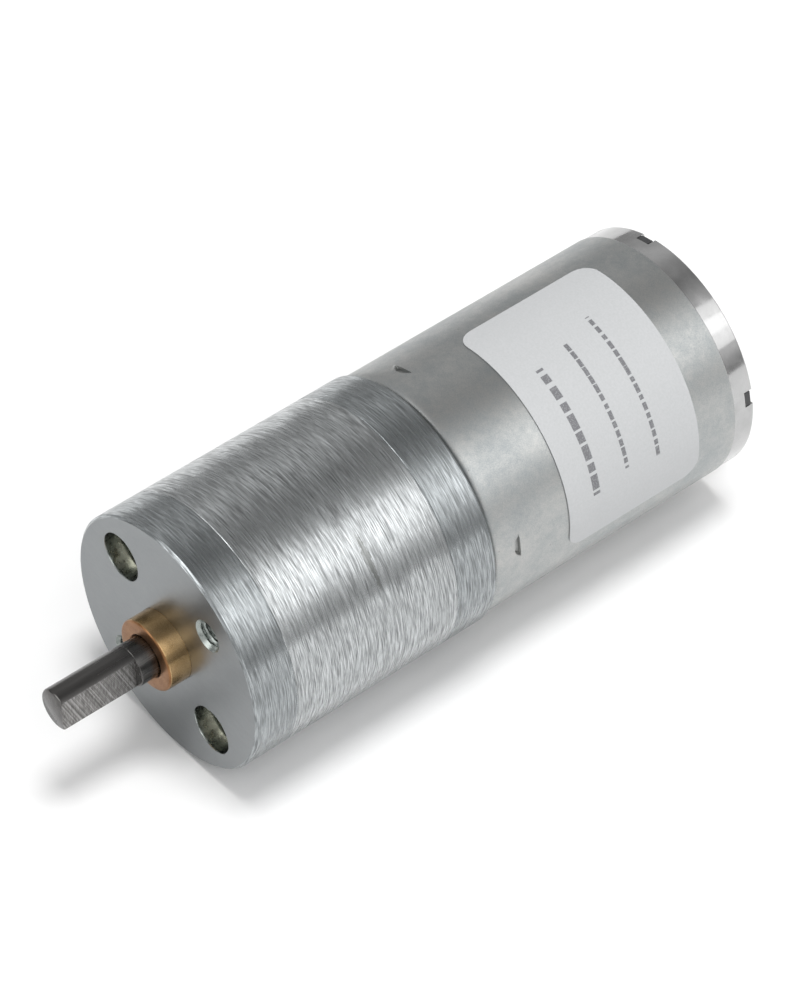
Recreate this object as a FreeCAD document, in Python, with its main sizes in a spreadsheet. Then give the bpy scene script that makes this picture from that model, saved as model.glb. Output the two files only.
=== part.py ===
"""Spur gearmotor, 25 mm: a brushed can motor behind an eight-stage gearbox with a D-cut output shaft.

Frame: the origin is on the shaft axis, in the gearbox's mounting face. The output shaft points
along -Y, the gearbox and the motor lie along +Y, and +Z is up. Sizes are in millimetres.
"""
import FreeCAD, Part
import math
import os
import re

import Sketcher
from FreeCAD import Placement, Rotation, Vector

AXIS = Vector(0, 1, 0)
FULL_TURN = 360
GEAR_COUNT = 7
LUG_COUNT = 4
POLE_ANGLES = (0, 120, 240)
OPPOSITE = (0, 180)
CASE_SCREW_TURNS = (70.0, 120.0)
MOTOR_SCREW_TURNS = (30.0, 60.0)
FLANK_STEPS = 4
SAME_SIZE = 1e-4
NEARLY_ALONG = 0.9

# The driving dimensions: alias, value and meaning. Lengths are in mm and angles in degrees.
# A name that ends in _radius is a radius, and one that ends in _at is a place along Y.
DIMENSIONS = (
    ("past_edge", 1.0, "how far a shape reaches past one that it cuts or joins"),
    ("gearbox_radius", 12.5, "outer radius of the gearbox"),
    ("gearbox_length", 27.0, "mounting face to the motor's seat"),
    ("plate_length", 4.5, "visible length of each end plate"),
    ("plate_spigot", 0.5, "length of each plate's spigot inside the ring"),
    ("spigot_radius", 11.25, "radius of the spigots"),
    ("ring_bore_radius", 11.3, "inner radius of the gearbox ring"),
    ("face_break", 0.25, "bevel round the mounting face"),
    ("joint_break", 0.08, "bevel at the joints between plates and ring"),
    ("bolt_circle", 8.5, "pitch radius of the four holes in the face"),
    ("bolt_angle", 45.0, "direction of the tapped holes, from +X towards +Z"),
    ("case_angle", 135.0, "direction of the case screws"),
    ("tap_radius", 1.25, "tap-drill radius of an M3 hole"),
    ("tap_depth", 4.0, "depth of the tapped holes"),
    ("tap_mouth", 0.35, "bevel at the mouth of a tapped hole"),
    ("screw_bore_radius", 2.35, "counterbore of a case screw"),
    ("screw_seat_at", 3.2, "depth of the counterbore"),
    ("screw_hole_radius", 1.45, "clearance hole of an M2.5 case screw"),
    ("screw_head_radius", 2.2, "head of a case screw"),
    ("screw_head_at", 1.7, "top of the screw head below the face"),
    ("screw_head_break", 0.45, "bevel round a screw head"),
    ("screw_shank_radius", 1.03, "shank of an M2.5 screw"),
    ("screw_thread_radius", 1.05, "tap-drill radius of an M2.5 hole"),
    ("screw_tip_at", 26.4, "tip of a case screw"),
    ("tip_break", 0.4, "bevel at a screw's tip"),
    ("cross_arm", 1.25, "half length of a cross recess"),
    ("cross_half_width", 0.28, "half width of a cross recess"),
    ("cross_depth", 0.9, "depth of a case screw's cross recess"),
    ("sink_cross_depth", 0.55, "depth of a motor screw's cross recess"),
    ("sink_radius", 1.95, "head of a countersunk motor screw"),
    ("sink_size", 0.9, "countersink in the rear plate"),
    ("sink_tip_at", 29.2, "tip of a motor screw"),
    ("press_gap", 0.02, "clearance drawn at a press fit"),
    ("bush_radius", 3.5, "outer radius of the output bush, the pilot boss"),
    ("bush_press_radius", 3.2, "pressed part of the bush"),
    ("bush_reach", 2.3, "bush in front of the mounting face"),
    ("bush_seat", 0.1, "depth of the bush's shoulder in the mounting face"),
    ("bush_break", 0.2, "rounding of the bush's outer edge"),
    ("bush_bore_radius", 2.04, "running fit on the output shaft"),
    ("bore_break", 0.14, "bevel at the bush's bore"),
    ("shaft_radius", 2.0, "output shaft"),
    ("shaft_reach", 12.0, "shaft tip in front of the mounting face"),
    ("shaft_break", 0.15, "bevel at a shaft's end"),
    ("oil_groove_at", 2.2, "oil groove inside the bush, in front of the mounting face"),
    ("oil_groove_width", 0.8, "width of the oil groove"),
    ("oil_groove_depth", 0.2, "depth of the oil groove"),
    ("flat_height", 1.05, "distance of the D-cut from the shaft axis"),
    ("flat_root", 4.15, "end of the D-cut in front of the mounting face"),
    ("gear_module", 0.4, "module of every gear"),
    ("gear_face", 1.8, "face width of a gear"),
    ("layer_pitch", 2.0, "distance between gear layers"),
    ("first_layer_at", 19.7, "front side of the motor pinion's layer"),
    ("pinion_teeth", 10, "teeth of a compound gear's pinion"),
    ("wheel_teeth", 22, "teeth of a wheel"),
    ("motor_pinion_teeth", 11, "teeth of the motor pinion"),
    ("first_wheel_teeth", 21, "teeth of the wheel on the motor pinion"),
    ("tooth_addendum", 0.9, "addendum in modules"),
    ("tooth_dedendum", 1.25, "dedendum in modules"),
    ("tooth_pressure", 20.0, "pressure angle"),
    ("tooth_limit", 17, "teeth below which a gear is shifted outwards"),
    ("tooth_thinning", 0.04, "thickness taken off each tooth for backlash"),
    ("pin_radius", 0.75, "gear pins"),
    ("pin_fit", 0.04, "running clearance on a gear pin"),
    ("pin_front_at", 3.0, "front end of the gear pins"),
    ("pin_rear_at", 25.4, "rear end of the gear pins"),
    ("pin_spread", 30.0, "each pin's angle from the tapped-hole direction"),
    ("spacer_radius", 1.4, "washers and spacers on the pins"),
    ("stack_gap", 0.1, "axial play between loose parts"),
    ("washer_radius", 3.1, "thrust washer on the output shaft"),
    ("washer_thickness", 0.35, "washers on the motor shaft"),
    ("can_radius", 12.2, "outer radius of the motor can"),
    ("can_wall", 0.8, "thickness of the can"),
    ("can_length", 30.8, "length of the can"),
    ("can_shoulder", 1.0, "rounding of the can's front edge"),
    ("band_radius", 12.12, "bright band at the can's rear"),
    ("band_length", 2.3, "length of the bright band"),
    ("boss_radius", 3.4, "bearing boss of the can"),
    ("boss_length", 1.8, "length of the boss"),
    ("boss_lip", 0.4, "front wall of the boss"),
    ("boss_hole_radius", 1.6, "shaft hole in the boss"),
    ("seat_radius", 3.5, "hole in the rear plate for the boss"),
    ("bearing_radius", 2.5, "motor bearings"),
    ("bearing_length", 3.0, "length of the front bearing"),
    ("rotor_radius", 1.0, "motor shaft"),
    ("rotor_fit", 0.03, "running clearance on the motor shaft"),
    ("rotor_rear_at", 59.8, "rear end of the motor shaft"),
    ("core_radius", 9.2, "armature"),
    ("core_front_at", 36.0, "front of the laminations"),
    ("core_length", 14.0, "length of the laminations"),
    ("shoe_depth", 1.3, "thickness of a pole shoe"),
    ("shoe_sweep", 104.0, "angle of a pole shoe"),
    ("arm_width", 3.2, "width of a pole's arm"),
    ("hub_radius", 3.2, "hub of the laminations"),
    ("card_thickness", 0.6, "insulating card on each end of the core"),
    ("coil_inner", 3.45, "inner side of a coil"),
    ("coil_outer", 7.1, "outer side of a coil"),
    ("coil_half_width", 3.1, "half width of a coil"),
    ("coil_end", 0.6, "thickness of a coil's end turns"),
    ("coil_corner", 1.0, "rounding of a coil's corners"),
    ("comm_front_at", 51.5, "front of the commutator"),
    ("comm_length", 3.6, "length of the commutator"),
    ("comm_hub_radius", 2.2, "moulded hub of the commutator"),
    ("comm_radius", 2.75, "brush track"),
    ("comm_flange", 0.45, "flange at the commutator's front"),
    ("comm_sweep", 112.0, "angle of a commutator segment"),
    ("comm_turn", 60.0, "turn of the segments from the poles"),
    ("magnet_outer_radius", 11.3, "outer radius of a magnet"),
    ("magnet_inner_radius", 9.5, "inner radius of a magnet"),
    ("magnet_front_at", 33.0, "front of the magnets"),
    ("magnet_length", 20.0, "length of the magnets"),
    ("magnet_sweep", 130.0, "angle of a magnet"),
    ("clip_thickness", 0.3, "magnet clip's strip"),
    ("clip_sweep", 44.0, "angle of a magnet clip"),
    ("clip_inset", 3.0, "magnet's end to the magnet clip"),
    ("clip_lip_sweep", 2.0, "angle of a clip's bent end"),
    ("clip_lip_gap", 0.2, "inner side of a magnet to the bent end's tip"),
    ("cap_inner_at", 55.6, "inner face of the end cap"),
    ("cap_recess", 0.3, "end cap's rear face inside the can's rim"),
    ("cap_gap", 0.05, "end cap inside the can"),
    ("cap_boss_radius", 3.6, "bearing boss of the end cap"),
    ("cap_boss_length", 1.8, "length of that boss"),
    ("cap_lip", 0.4, "rear wall of that boss"),
    ("vent_radius", 1.3, "vents in the end cap"),
    ("vent_circle", 6.6, "distance of the vents from the axis"),
    ("lug_width", 1.5, "lugs of the end cap in the can's rim"),
    ("lug_length", 0.9, "length of a lug along the can"),
    ("lug_angle", 102.0, "direction of the first lug"),
    ("lance_angle", 108.6, "direction of the first punched lance"),
    ("lance_pitch", 99.6, "angle between the two lances"),
    ("lance_at", 29.95, "straight edges of the lances along the can"),
    ("lance_radius", 1.3, "radius of a lance's curved edge"),
    ("lance_depth", 0.35, "depth of a lance"),
    ("lance_height", 0.7, "length of a lance along the can"),
    ("brush_angle", 135.0, "direction of the brushes and terminals"),
    ("brush_gap", 0.05, "brush to commutator"),
    ("brush_length", 1.8, "radial length of a brush"),
    ("brush_half_width", 0.9, "half width of a brush"),
    ("brush_front_at", 52.5, "front side of the brushes"),
    ("brush_height", 2.0, "size of a brush along Y"),
    ("leaf_thickness", 0.25, "brush arm"),
    ("leaf_reach", 6.0, "end of the brush arm beside the brush"),
    ("foot_width", 0.8, "bent foot of a brush arm"),
    ("terminal_circle", 8.0, "distance of the terminals from the axis"),
    ("terminal_thickness", 0.5, "terminal tab"),
    ("terminal_width", 2.6, "width of a terminal tab"),
    ("terminal_front_at", 54.6, "inner end of a terminal"),
    ("terminal_reach", 3.2, "terminal behind the end cap"),
    ("terminal_eye_radius", 0.55, "wire hole in a terminal"),
    ("label_front_at", 35.6, "front edge of the label"),
    ("label_length", 15.4, "length of the label along the can"),
    ("label_angle", 107.0, "upper end of the label"),
    ("label_sweep", 118.0, "angle that the label covers"),
    ("label_gap", 0.02, "label above the can"),
    ("label_thickness", 0.08, "paper"),
    ("label_corner", 1.75, "rounding of the label's corners"),
)

doc = FreeCAD.newDocument("Gearmotor")
sheet = doc.addObject("Spreadsheet::Sheet", "Sizes")
for row, (alias, size, meaning) in enumerate(DIMENSIONS, start=1):
    sheet.set(f"A{row}", meaning)
    sheet.set(f"B{row}", str(size))
    sheet.setAlias(f"B{row}", alias)
doc.recompute()

nodes = []


# ---------------------------------------------------------------- reading and binding sizes

def sized(expression):
    """The expression with every alias read from the sheet."""
    return re.sub(r"\b[a-z]+(_[a-z]+)+\b", lambda found: "Sizes." + found.group(0), expression)


def value(expression):
    """The number that an expression of aliases gives now."""
    result = sheet.evalExpression(sized(expression))
    return float(getattr(result, "Value", result))


def bind(thing, **expressions):
    """Binds properties to expressions of the sheet's aliases."""
    for name, expression in expressions.items():
        thing.setExpression(name.replace("__", "."), sized(expression))


def place(thing, x="0", y="0", z="0", turn=0.0):
    """Puts a sub-part at a place given by expressions, turned about its own axis along Y."""
    thing.Placement = Placement(Vector(value(x), value(y), value(z)), Rotation(AXIS, -turn))
    bind(thing, Placement__Base__x=x, Placement__Base__y=y, Placement__Base__z=z)


def on_circle(radius, angle):
    """Expressions of x and z at a radius and an angle, measured from +X towards +Z."""
    return f"({radius}) * cos({angle})", f"({radius}) * sin({angle})"


def both_sides(radius, angle):
    """Two opposite places on a circle."""
    return on_circle(radius, angle), on_circle(f"-({radius})", angle)


def keep(thing, label):
    """Names a sub-part, which is written to a file of its own."""
    thing.Label = label
    nodes.append(thing)
    return thing


# ---------------------------------------------------------------- PartDesign helpers

def origin_plane(body, role):
    return next(item for item in body.Origin.OriginFeatures if item.Role == role)


def new_sketch(body, name, plane="XY_Plane", start="0"):
    """An empty sketch on an origin plane. On the XZ plane it is moved to y = start."""
    sketch = body.newObject("Sketcher::SketchObject", name)
    sketch.AttachmentSupport = (origin_plane(body, plane), [""])
    sketch.MapMode = "FlatFace"
    bind(sketch, AttachmentOffset__Base__z=f"-({start})")
    return sketch


def add_outline(sketch, corners):
    """Adds a closed outline whose corners are pairs of expressions."""
    first = sketch.GeometryCount
    points = [Vector(value(x), value(y), 0) for x, y in corners]
    count = len(points)
    for index in range(count):
        sketch.addGeometry(Part.LineSegment(points[index], points[(index + 1) % count]), False)
    for index, pair in enumerate(corners):
        line = first + index
        before = first + (index - 1) % count
        sketch.addConstraint(Sketcher.Constraint("Coincident", before, 2, line, 1))
        for kind, expression in zip(("DistanceX", "DistanceY"), pair):
            rule = Sketcher.Constraint(kind, -1, 1, line, 1, value(expression))
            number = sketch.addConstraint(rule)
            sketch.setExpression(f"Constraints[{number}]", sized(expression))


def add_circle(sketch, x, y, radius):
    """Adds a circle whose place and radius are expressions."""
    centre = Vector(value(x), value(y), 0)
    line = sketch.addGeometry(Part.Circle(centre, Vector(0, 0, 1), value(radius)), False)
    for kind, expression in (("DistanceX", x), ("DistanceY", y)):
        number = sketch.addConstraint(Sketcher.Constraint(kind, -1, 1, line, 3, value(expression)))
        sketch.setExpression(f"Constraints[{number}]", sized(expression))
    number = sketch.addConstraint(Sketcher.Constraint("Radius", line, value(radius)))
    sketch.setExpression(f"Constraints[{number}]", sized(radius))


def turned(name, corners, sweep=None):
    """A body turned about the Y axis from a half section of (radius, y) corners."""
    body = doc.addObject("PartDesign::Body", name)
    section = new_sketch(body, name + "_section")
    add_outline(section, corners)
    revolution = body.newObject("PartDesign::Revolution", name + "_turned")
    revolution.Profile = section
    revolution.ReferenceAxis = (section, ["V_Axis"])
    revolution.Angle = value(sweep) if sweep else FULL_TURN
    if sweep:
        bind(revolution, Angle=sweep)
    return body


def tube(name, inner, outer, start, end, sweep=None):
    """A turned tube, or a sector of one."""
    corners = ((inner, start), (outer, start), (outer, end), (inner, end))
    return turned(name, corners, sweep)


def pocket(body, name, sketch, depth=None):
    """Cuts a sketch into the body along +Y for a depth, or both ways through all of it."""
    doc.recompute()
    before = body.Shape.Volume
    cut = body.newObject("PartDesign::Pocket", name)
    cut.Profile = sketch
    if depth:
        bind(cut, Length=depth)
    else:
        cut.Type = "ThroughAll"
        cut.Midplane = True
    doc.recompute()
    if cut.Shape.Volume >= before:
        raise RuntimeError(f"{name} removes nothing")
    return cut


def drill(body, name, start, depth, radius, spots):
    """Bores round holes along +Y from the plane y = start."""
    sketch = new_sketch(body, name + "_circles", "XZ_Plane", start)
    for x, z in spots:
        add_circle(sketch, x, z, radius)
    return pocket(body, name, sketch, depth)


def circle_edges(feature, radius, at):
    """Names of the feature's round edges of one radius that lie in the plane y = at."""
    names = []
    for number, edge in enumerate(feature.Shape.Edges, start=1):
        curve = edge.Curve
        if not isinstance(curve, Part.Circle):
            continue
        off = abs(curve.Radius - value(radius)) + abs(curve.Center.y - value(at))
        if off < SAME_SIZE:
            names.append(f"Edge{number}")
    return names


def dress(body, kind, name, radius, at, size):
    """Adds a PartDesign Chamfer or Fillet to the round edges of one radius in one plane."""
    doc.recompute()
    tip = body.Tip
    dressing = body.newObject("PartDesign::" + kind, name)
    dressing.Base = (tip, circle_edges(tip, radius, at))
    bind(dressing, **{"Size" if kind == "Chamfer" else "Radius": size})
    return dressing


def cross_recess(body, name, start, depth):
    """A cross recess in a screw head, cut along +Y."""
    arm, half = "cross_arm", "cross_half_width"
    quarter = ((arm, f"-{half}"), (arm, half), (half, half), (half, arm), (f"-{half}", arm))
    corners = list(quarter)
    corners += [(f"-{half}", half), (f"-{arm}", half), (f"-{arm}", f"-{half}")]
    corners += [(f"-{half}", f"-{half}"), (f"-{half}", f"-{arm}"), (half, f"-{arm}")]
    corners += [(half, f"-{half}")]
    sketch = new_sketch(body, name + "_cross", "XZ_Plane", start)
    add_outline(sketch, corners)
    return pocket(body, name + "_recess", sketch, depth)


# ---------------------------------------------------------------- Part helpers

def box(name, x, y, z):
    """A box between the expressions of its lowest and highest x, y and z."""
    block = doc.addObject("Part::Box", name)
    bind(block, Length=f"({x[1]}) - ({x[0]})", Width=f"({y[1]}) - ({y[0]})",
         Height=f"({z[1]}) - ({z[0]})")
    bind(block, Placement__Base__x=x[0], Placement__Base__y=y[0], Placement__Base__z=z[0])
    return block


def cylinder(name, radius, start, length):
    """A cylinder along the Y axis."""
    rod = doc.addObject("Part::Cylinder", name)
    rod.Placement = Placement(Vector(), Rotation(Vector(1, 0, 0), -90))
    bind(rod, Radius=radius, Height=length, Placement__Base__y=start)
    return rod


def fused(name, pieces):
    fusion = doc.addObject("Part::MultiFuse", name)
    fusion.Shapes = pieces
    return fusion


def cut(name, base, tool):
    difference = doc.addObject("Part::Cut", name)
    difference.Base = base
    difference.Tool = tool
    return difference


def group(name, pieces):
    """Separate solids that share one node."""
    compound = doc.addObject("Part::Compound", name)
    compound.Links = pieces
    return compound


def turned_about_shaft(thing, name, angle):
    """The thing turned about the motor shaft, in a holder of its own."""
    holder = group(name, [thing])
    holder.Placement = Placement(Vector(), Rotation(AXIS, -angle))
    return holder


# ---------------------------------------------------------------- gear teeth

def involute(angle):
    return math.tan(angle) - angle


def profile_shift(teeth, mate):
    """Outward shift of a small gear and the same inward shift of its mate, in modules."""
    limit = value("tooth_limit")
    small = min(teeth, mate)
    shift = (limit - small) / limit
    return shift if teeth < mate else -shift


def polar(radius, angle):
    """A point in the XZ plane, the angle measured from +X towards +Z."""
    return Vector(radius * math.cos(angle), 0, radius * math.sin(angle))


def tooth_face(teeth, mate):
    """The outline of an involute gear round the Y axis, filled, with a tooth centred on +X."""
    module = value("gear_module")
    pressure = math.radians(value("tooth_pressure"))
    shift = profile_shift(teeth, mate)
    pitch_radius = module * teeth / 2
    base_radius = pitch_radius * math.cos(pressure)
    tip_radius = pitch_radius + module * (value("tooth_addendum") + shift)
    root_radius = pitch_radius - module * (value("tooth_dedendum") - shift)
    half_tooth = math.pi / (2 * teeth) + 2 * shift * math.tan(pressure) / teeth
    half_tooth -= value("tooth_thinning") / (2 * pitch_radius)
    half_base = half_tooth + involute(pressure)
    last_roll = math.sqrt((tip_radius / base_radius) ** 2 - 1)
    rolls = [last_roll * step / FLANK_STEPS for step in range(FLANK_STEPS + 1)]
    flank = [(base_radius * math.hypot(1, roll), half_base - roll + math.atan(roll)) for roll in rolls]
    tip_half = flank[-1][1]
    tooth_pitch = 2 * math.pi / teeth
    edges = []
    for number in range(teeth):
        centre = number * tooth_pitch
        following = centre + tooth_pitch
        rising = Part.BSplineCurve()
        rising.interpolate([polar(radius, centre - angle) for radius, angle in flank])
        falling = Part.BSplineCurve()
        falling.interpolate([polar(radius, centre + angle) for radius, angle in reversed(flank)])
        tip = Part.Arc(polar(tip_radius, centre - tip_half), polar(tip_radius, centre),
                       polar(tip_radius, centre + tip_half))
        root = Part.Arc(polar(root_radius, centre + half_base),
                        polar(root_radius, centre + tooth_pitch / 2),
                        polar(root_radius, following - half_base))
        inward = Part.LineSegment(polar(base_radius, centre + half_base),
                                  polar(root_radius, centre + half_base))
        outward = Part.LineSegment(polar(root_radius, following - half_base),
                                   polar(base_radius, following - half_base))
        edges += [item.toShape() for item in (rising, tip, falling, inward, root, outward)]
    return Part.Face(Part.Wire(edges))


def toothed(name, teeth, mate, start, length):
    """A gear rim: the toothed outline extruded along Y."""
    outline = doc.addObject("Part::Feature", name + "_outline")
    outline.Shape = tooth_face(int(value(teeth)), int(value(mate)))
    rim = doc.addObject("Part::Extrusion", name)
    rim.Base = outline
    rim.DirMode = "Custom"
    rim.Dir = AXIS
    rim.Solid = True
    bind(rim, LengthFwd=length, Placement__Base__y=start)
    return rim


def meshed(phase, teeth, mate, direction):
    """The angle of the mate's tooth so that it meshes with a gear turned to a phase.

    direction is the angle, from +X towards +Z, in which the mate's axis lies.
    """
    here = (direction - phase) * teeth / (2 * math.pi)
    return direction + math.pi + (here - 0.5) * 2 * math.pi / mate


# ---------------------------------------------------------------- the gearbox case

PIN_ANGLES = {"a": "bolt_angle + pin_spread", "b": "bolt_angle - pin_spread"}
PIN_CIRCLE = "gear_module * (pinion_teeth + wheel_teeth) / 2"
PLATE_INNER = "plate_length + plate_spigot"
REAR_INNER = "gearbox_length - plate_length - plate_spigot"
TAPPED = both_sides("bolt_circle", "bolt_angle")
CASED = both_sides("bolt_circle", "case_angle")
PINNED = tuple(on_circle(PIN_CIRCLE, angle) for angle in PIN_ANGLES.values())


def make_front_plate():
    bore = "bush_press_radius + press_gap"
    recess = "bush_radius + press_gap"
    body = turned("FrontPlate", (
        (recess, "0"),
        ("gearbox_radius - face_break", "0"),
        ("gearbox_radius", "face_break"),
        ("gearbox_radius", "plate_length - joint_break"),
        ("gearbox_radius - joint_break", "plate_length"),
        ("spigot_radius", "plate_length"),
        ("spigot_radius", PLATE_INNER),
        (bore, PLATE_INNER),
        (bore, "bush_seat"),
        (recess, "bush_seat"),
    ))
    drill(body, "TappedHoles", "0", "tap_depth", "tap_radius", TAPPED)
    dress(body, "Chamfer", "TapMouths", "tap_radius", "0", "tap_mouth")
    drill(body, "Counterbores", "0", "screw_seat_at", "screw_bore_radius", CASED)
    drill(body, "ScrewHoles", "0", f"{PLATE_INNER} + past_edge", "screw_hole_radius", CASED)
    drill(body, "FrontPinHoles", "pin_front_at", PLATE_INNER, "pin_radius + press_gap", PINNED)
    return keep(body, "front_plate")


def make_gearbox_ring():
    start, end = "plate_length", "gearbox_length - plate_length"
    body = turned("GearboxRing", (
        ("ring_bore_radius", start),
        ("gearbox_radius - joint_break", start),
        ("gearbox_radius", f"{start} + joint_break"),
        ("gearbox_radius", f"{end} - joint_break"),
        ("gearbox_radius - joint_break", end),
        ("ring_bore_radius", end),
    ))
    return keep(body, "gearbox_ring")


def make_rear_plate():
    start = "gearbox_length - plate_length"
    body = turned("RearPlate", (
        ("seat_radius", REAR_INNER),
        ("spigot_radius", REAR_INNER),
        ("spigot_radius", start),
        ("gearbox_radius - joint_break", start),
        ("gearbox_radius", f"{start} + joint_break"),
        ("gearbox_radius", "gearbox_length - face_break"),
        ("gearbox_radius - face_break", "gearbox_length"),
        ("seat_radius", "gearbox_length"),
    ))
    threads = f"screw_tip_at - ({REAR_INNER}) + stack_gap"
    sockets = f"pin_rear_at - ({REAR_INNER})"
    drill(body, "CaseThreads", REAR_INNER, threads, "screw_thread_radius", CASED)
    drill(body, "RearPinHoles", REAR_INNER, sockets, "pin_radius + press_gap", PINNED)
    drill(body, "MotorHoles", REAR_INNER, "plate_length + past_edge", "screw_thread_radius", TAPPED)
    dress(body, "Chamfer", "Countersinks", "screw_thread_radius", REAR_INNER, "sink_size + press_gap")
    return keep(body, "rear_plate")


def make_output_bush():
    body = turned("OutputBush", (
        ("bush_bore_radius + bore_break", "-bush_reach"),
        ("bush_radius - bush_break", "-bush_reach"),
        ("bush_radius", "bush_break - bush_reach"),
        ("bush_radius", "bush_seat"),
        ("bush_press_radius", "bush_seat"),
        ("bush_press_radius", PLATE_INNER),
        ("bush_bore_radius", PLATE_INNER),
        ("bush_bore_radius", "bore_break - bush_reach"),
    ))
    dress(body, "Fillet", "BushEdge", "bush_radius - bush_break", "-bush_reach", "bush_break / 2")
    return keep(body, "output_bush")


def make_case_screws():
    screws = []
    for (x, z), turn in zip(CASED, CASE_SCREW_TURNS):
        name = f"CaseScrew{turn:.0f}"
        body = turned(name, (
            ("0", "screw_head_at"),
            ("screw_head_radius - screw_head_break", "screw_head_at"),
            ("screw_head_radius", "screw_head_at + screw_head_break"),
            ("screw_head_radius", "screw_seat_at"),
            ("screw_shank_radius", "screw_seat_at"),
            ("screw_shank_radius", "screw_tip_at - tip_break"),
            ("screw_shank_radius - tip_break", "screw_tip_at"),
            ("0", "screw_tip_at"),
        ))
        cross_recess(body, name, "screw_head_at", "cross_depth")
        place(body, x=x, z=z, turn=turn)
        screws.append(body)
    return keep(group("CaseScrews", screws), "case_screws")


def make_motor_screws():
    top = f"{REAR_INNER} + press_gap"
    screws = []
    for (x, z), turn in zip(TAPPED, MOTOR_SCREW_TURNS):
        name = f"MotorScrew{turn:.0f}"
        body = turned(name, (
            ("0", top),
            ("sink_radius - press_gap", top),
            ("screw_shank_radius", f"{REAR_INNER} + sink_size"),
            ("screw_shank_radius", "sink_tip_at - tip_break"),
            ("screw_shank_radius - tip_break", "sink_tip_at"),
            ("0", "sink_tip_at"),
        ))
        cross_recess(body, name, top, "sink_cross_depth")
        place(body, x=x, z=z, turn=turn)
        screws.append(body)
    return keep(group("MotorScrews", screws), "motor_screws")


def make_gear_pin(letter):
    x, z = on_circle(PIN_CIRCLE, PIN_ANGLES[letter])
    edge = "pin_radius - shaft_break"
    body = turned("GearPin" + letter.upper(), (
        ("0", "pin_front_at"),
        (edge, "pin_front_at"),
        ("pin_radius", "pin_front_at + shaft_break"),
        ("pin_radius", "pin_rear_at - shaft_break"),
        (edge, "pin_rear_at"),
        ("0", "pin_rear_at"),
    ))
    place(body, x=x, z=z)
    return keep(body, "gear_pin_" + letter)


def make_pin_spacers():
    """Loose washers and spacers that fill each pin in front of and behind its gears."""
    front = f"{PLATE_INNER} + stack_gap"
    rear = f"{REAR_INNER} - stack_gap"
    inner = "pin_radius + pin_fit"
    layer_front = "first_layer_at - layer_pitch * {0}"
    ends = {
        "a": (layer_front.format(GEAR_COUNT), "first_layer_at + gear_face"),
        "b": (layer_front.format(GEAR_COUNT - 1), "first_layer_at + gear_face - layer_pitch"),
    }
    spacers = []
    for letter, (first_gear, last_gear) in ends.items():
        x, z = on_circle(PIN_CIRCLE, PIN_ANGLES[letter])
        spans = ((front, f"{first_gear} - stack_gap"), (f"{last_gear} + stack_gap", rear))
        for number, (start, end) in enumerate(spans, start=1):
            body = tube(f"Spacer{letter.upper()}{number}", inner, "spacer_radius", start, end)
            place(body, x=x, z=z)
            spacers.append(body)
    return keep(group("PinSpacers", spacers), "pin_spacers")


# ---------------------------------------------------------------- the gear train

def make_output_shaft():
    """The shaft, whose D-cut length and round length keep walls of their own."""
    end = "first_layer_at - layer_pitch * %d + gear_face" % GEAR_COUNT
    groove = "shaft_radius - oil_groove_depth"
    round_length = turned("RoundLength", (
        ("0", "-flat_root"),
        ("shaft_radius", "-flat_root"),
        ("shaft_radius", "-oil_groove_at"),
        (groove, "-oil_groove_at"),
        (groove, "oil_groove_width - oil_groove_at"),
        ("shaft_radius", "oil_groove_width - oil_groove_at"),
        ("shaft_radius", end),
        ("0", end),
    ))
    cut_length = turned("CutLength", (
        ("0", "-shaft_reach"),
        ("shaft_radius - shaft_break", "-shaft_reach"),
        ("shaft_radius", "shaft_break - shaft_reach"),
        ("shaft_radius", "-flat_root"),
        ("0", "-flat_root"),
    ))
    sketch = new_sketch(cut_length, "FlatOutline")
    beyond = "shaft_radius + past_edge"
    add_outline(sketch, (
        ("flat_height", "-shaft_reach - past_edge"),
        (beyond, "-shaft_reach - past_edge"),
        (beyond, "past_edge - flat_root"),
        ("flat_height", "past_edge - flat_root"),
    ))
    pocket(cut_length, "DCut", sketch)
    shaft = fused("OutputShaft", [round_length, cut_length])
    shaft.Refine = False
    return keep(shaft, "output_shaft")


def make_thrust_washer():
    end = "first_layer_at - layer_pitch * %d - stack_gap" % GEAR_COUNT
    start = f"{PLATE_INNER} + stack_gap"
    return keep(tube("ThrustWasher", "bush_bore_radius", "washer_radius", start, end), "thrust_washer")


def make_output_gear(phase):
    rim = toothed("OutputRim", "wheel_teeth", "pinion_teeth", "0", "gear_face")
    bore = cylinder("OutputBore", "shaft_radius + press_gap", "-past_edge", "gear_face + 2 * past_edge")
    gear = cut("OutputGear", rim, bore)
    place(gear, y="first_layer_at - layer_pitch * %d" % GEAR_COUNT, turn=math.degrees(phase))
    return keep(gear, "output_gear")


def make_motor_pinion(phase):
    rim = toothed("MotorRim", "motor_pinion_teeth", "first_wheel_teeth", "0", "gear_face")
    bore = cylinder("MotorPinionBore", "rotor_radius + press_gap", "-past_edge",
                    "gear_face + 2 * past_edge")
    gear = cut("MotorPinion", rim, bore)
    place(gear, y="first_layer_at", turn=math.degrees(phase))
    return keep(gear, "motor_pinion")


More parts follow.
